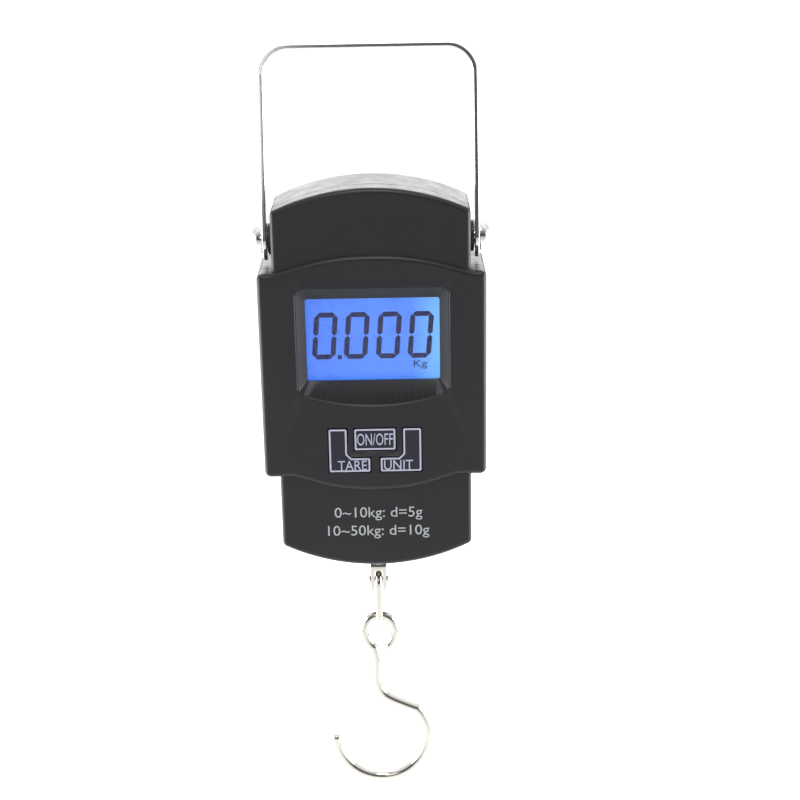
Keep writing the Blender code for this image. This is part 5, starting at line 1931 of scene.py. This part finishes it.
@dataclass
class Interior:
    """What is held inside the casing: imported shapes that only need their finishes."""

    def finishes(self) -> dict[str, Finish]:
        """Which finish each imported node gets."""
        low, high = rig.box("battery_left")
        sleeve = Sleeve(
            "battery_wrap",
            (0.05, 0.055, 0.065),
            (0.62, 0.36, 0.12),
            rough=0.22,
            rough_more=0.06,
            metallic=0.3,
            relief=0.03,
            bare_from=high[2] - 11.0 * MM,
            bare_to=high[2] - 10.8 * MM,
        )
        upside_down = replace(sleeve, bare_from=low[2] + 11.0 * MM, bare_to=low[2] + 10.8 * MM)
        chosen = {
            "battery_left": sleeve,
            "battery_right": upside_down,
            "battery_tray": DARK_NYLON,
            "lcd_backlight": WHITE_SHEET,
            "lcd_contact_strip": DARK_NYLON,
            "main_board": BOARD,
            "controller_chip": DARK_NYLON,
            "load_cell": ALUMINIUM,
            "yoke": ZINC,
            "yoke_bolt": ZINC,
            "stem_nut": ZINC,
            "signal_lead": BLACK_LEAD,
            "power_lead_negative": BLACK_LEAD,
            "power_lead_positive": RED_LEAD,
        }
        for side in ("left", "right"):
            chosen |= {f"strain_gauge_{side}": GAUGE_FILM, f"contact_{side}": NICKEL, f"spring_{side}": NICKEL}
            for end in ("top", "bottom"):
                chosen[f"board_screw_{end}_{side}"] = ZINC
        for key in KEY_SHAPES:
            chosen[key.body.replace("key", "switch")] = DARK_NYLON
        return chosen

    def build(self) -> None:
        """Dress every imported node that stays."""
        for name, finish in self.finishes().items():
            dress_node(name, finish)


# Studio


@dataclass
class Studio:
    """A pale floor, soft lights and the camera.

    Attributes:
        aim: the point that the camera looks at.
        distance: from there to the camera.
        pitch: how far it looks down.
        roll: its turn about its own axis.
        lens: its focal length in millimetres.
        floor_drop: the floor below the hook's lowest point.
        floor_glow: painted light, the floor's own white glow. It is none under the scale and rises to this strength
            half a metre behind it.
        front_glow: the room's brightness on the reader's side.
        back_glow: its brightness behind the scale.
        top_glow: what its ceiling adds.
    """

    aim: Point3 = (0.0076, -0.0253, -0.0983)
    distance: float = 0.488
    pitch: float = math.radians(19.0)
    roll: float = math.radians(-1.0)
    lens: float = 74.9
    floor_drop: float = 0.30
    floor_glow: float = 0.45
    front_glow: float = 0.10
    back_glow: float = 0.85
    top_glow: float = 0.30

    def camera(self) -> None:
        """Place the camera and make it the scene's."""
        bpy.ops.object.camera_add()
        camera = bpy.context.object
        camera.name = "camera"
        camera.data.lens = self.lens
        camera.data.clip_start = 0.01
        away = Vector((0.0, -math.cos(self.pitch), math.sin(self.pitch)))
        turn = Matrix.Rotation(math.pi / 2 - self.pitch, 4, "X") @ Matrix.Rotation(self.roll, 4, "Z")
        camera.matrix_world = Matrix.Translation(Vector(self.aim) + away * self.distance) @ turn
        bpy.context.scene.camera = camera

    def floor(self) -> None:
        """A wide pale floor under the scale, with painted light: it glows white behind the scale."""
        bpy.ops.object.select_all(action="DESELECT")
        bpy.ops.mesh.primitive_grid_add(x_subdivisions=8, y_subdivisions=8, size=40.0)
        floor = bpy.context.object
        floor.name = "floor"
        floor.data.transform(Matrix.Translation((0.0, 0.0, CAD_BOX[0][2] - self.floor_drop)))
        paper = Finish("floor", (0.93, 0.93, 0.93), (0.91, 0.91, 0.915), rough=0.8, cloud=6.0, relief=0.02)
        material = paper.material("floor_paper")
        wiring = Wiring(material)
        wiring.surface.inputs["Emission Color"].default_value = (1.0, 1.0, 1.0, 1.0)
        # Painted light: the floor glows white, not at all under the scale and at full strength from half a metre
        # behind it.
        glow = wiring.spread(wiring.along(Facing.Y, 0.0, 0.5), 0.0, self.floor_glow, 0.0, 1.0)
        wiring.link(glow, wiring.surface.inputs["Emission Strength"])
        floor.data.materials.append(material)
        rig.stage(floor)

    def light(self, name: str, place: Point3, size: float, power: float) -> None:
        """A square soft light aimed at the casing.

        Args:
            name: the light's name.
            place: where it stands.
            size: its side.
            power: its power in watts.
        """
        bpy.ops.object.light_add(type="AREA")
        lamp = bpy.context.object
        lamp.name = name
        lamp.data.shape = "SQUARE"
        lamp.data.size = size
        lamp.data.energy = power
        aim = Vector((0.0, 0.0, PIVOT.z)) - Vector(place)
        lamp.matrix_world = Matrix.Translation(place) @ aim.to_track_quat("-Z", "Y").to_matrix().to_4x4()

    def surroundings(self) -> None:
        """A pale room, bright above and behind the scale and dim on the reader's side."""
        world = bpy.data.worlds.new("room")
        bpy.context.scene.world = world
        world.use_nodes = True
        nodes, links = world.node_tree.nodes, world.node_tree.links
        glow = nodes["Background"]
        glow.inputs["Color"].default_value = (0.97, 0.98, 1.0, 1.0)
        direction = nodes.new("ShaderNodeTexCoord").outputs["Generated"]
        parts = nodes.new("ShaderNodeSeparateXYZ")
        links.new(direction, parts.inputs["Vector"])
        shares = []
        for socket, start, end, low, high in (
            (parts.outputs["Y"], -0.75, 0.25, self.front_glow, self.back_glow),
            (parts.outputs["Z"], 0.25, 0.85, 0.0, self.top_glow),
        ):
            share = nodes.new("ShaderNodeMapRange")
            share.interpolation_type = "SMOOTHSTEP"
            for key, number in (("From Min", start), ("From Max", end), ("To Min", low), ("To Max", high)):
                share.inputs[key].default_value = number
            links.new(socket, share.inputs["Value"])
            shares.append(share.outputs["Result"])
        total = nodes.new("ShaderNodeMath")
        total.operation = "ADD"
        for socket, share in zip(total.inputs, shares):
            links.new(share, socket)
        links.new(total.outputs["Value"], glow.inputs["Strength"])

    def build(self) -> None:
        """Set up the whole studio."""
        self.surroundings()
        self.floor()
        self.light("left_panel", (-0.80, 0.04, -0.14), 0.60, 7.0)
        self.light("right_panel", (0.80, 0.04, -0.14), 0.60, 7.0)
        self.light("rear_panel", (0.0, 1.0, 0.36), 0.9, 6.0)
        self.light("upper_panel", (0.0, -0.50, 0.80), 0.4, 2.6)
        self.light("front_fill", (-0.25, -0.9, 0.35), 0.3, 0.5)
        self.camera()
        bpy.context.scene.view_settings.view_transform = "Standard"


def write_sizes() -> None:
    """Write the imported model's box and the finished model's box."""
    boxes = {"cad": CAD_BOX, "visual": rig.bounds()}
    plain = {name: [[float(number) for number in corner] for corner in box] for name, box in boxes.items()}
    SIZE_FILE.write_text(json.dumps(plain))


def main() -> None:
    """Build every sub-assembly, then the studio."""
    logging.basicConfig(level=logging.INFO, format="%(message)s")
    assemblies = (
        Casing(),
        DisplayUnit(),
        KeyPad(),
        CapacityPrint(),
        Bail(),
        PivotHardware(),
        HookTrain(),
        BatteryDoor(),
        CaseScrews(),
        Interior(),
        Studio(),
    )
    for assembly in assemblies:
        LOG.info("building %s", type(assembly).__name__)
        assembly.build()
    write_sizes()


if __name__ == "__main__":
    main()
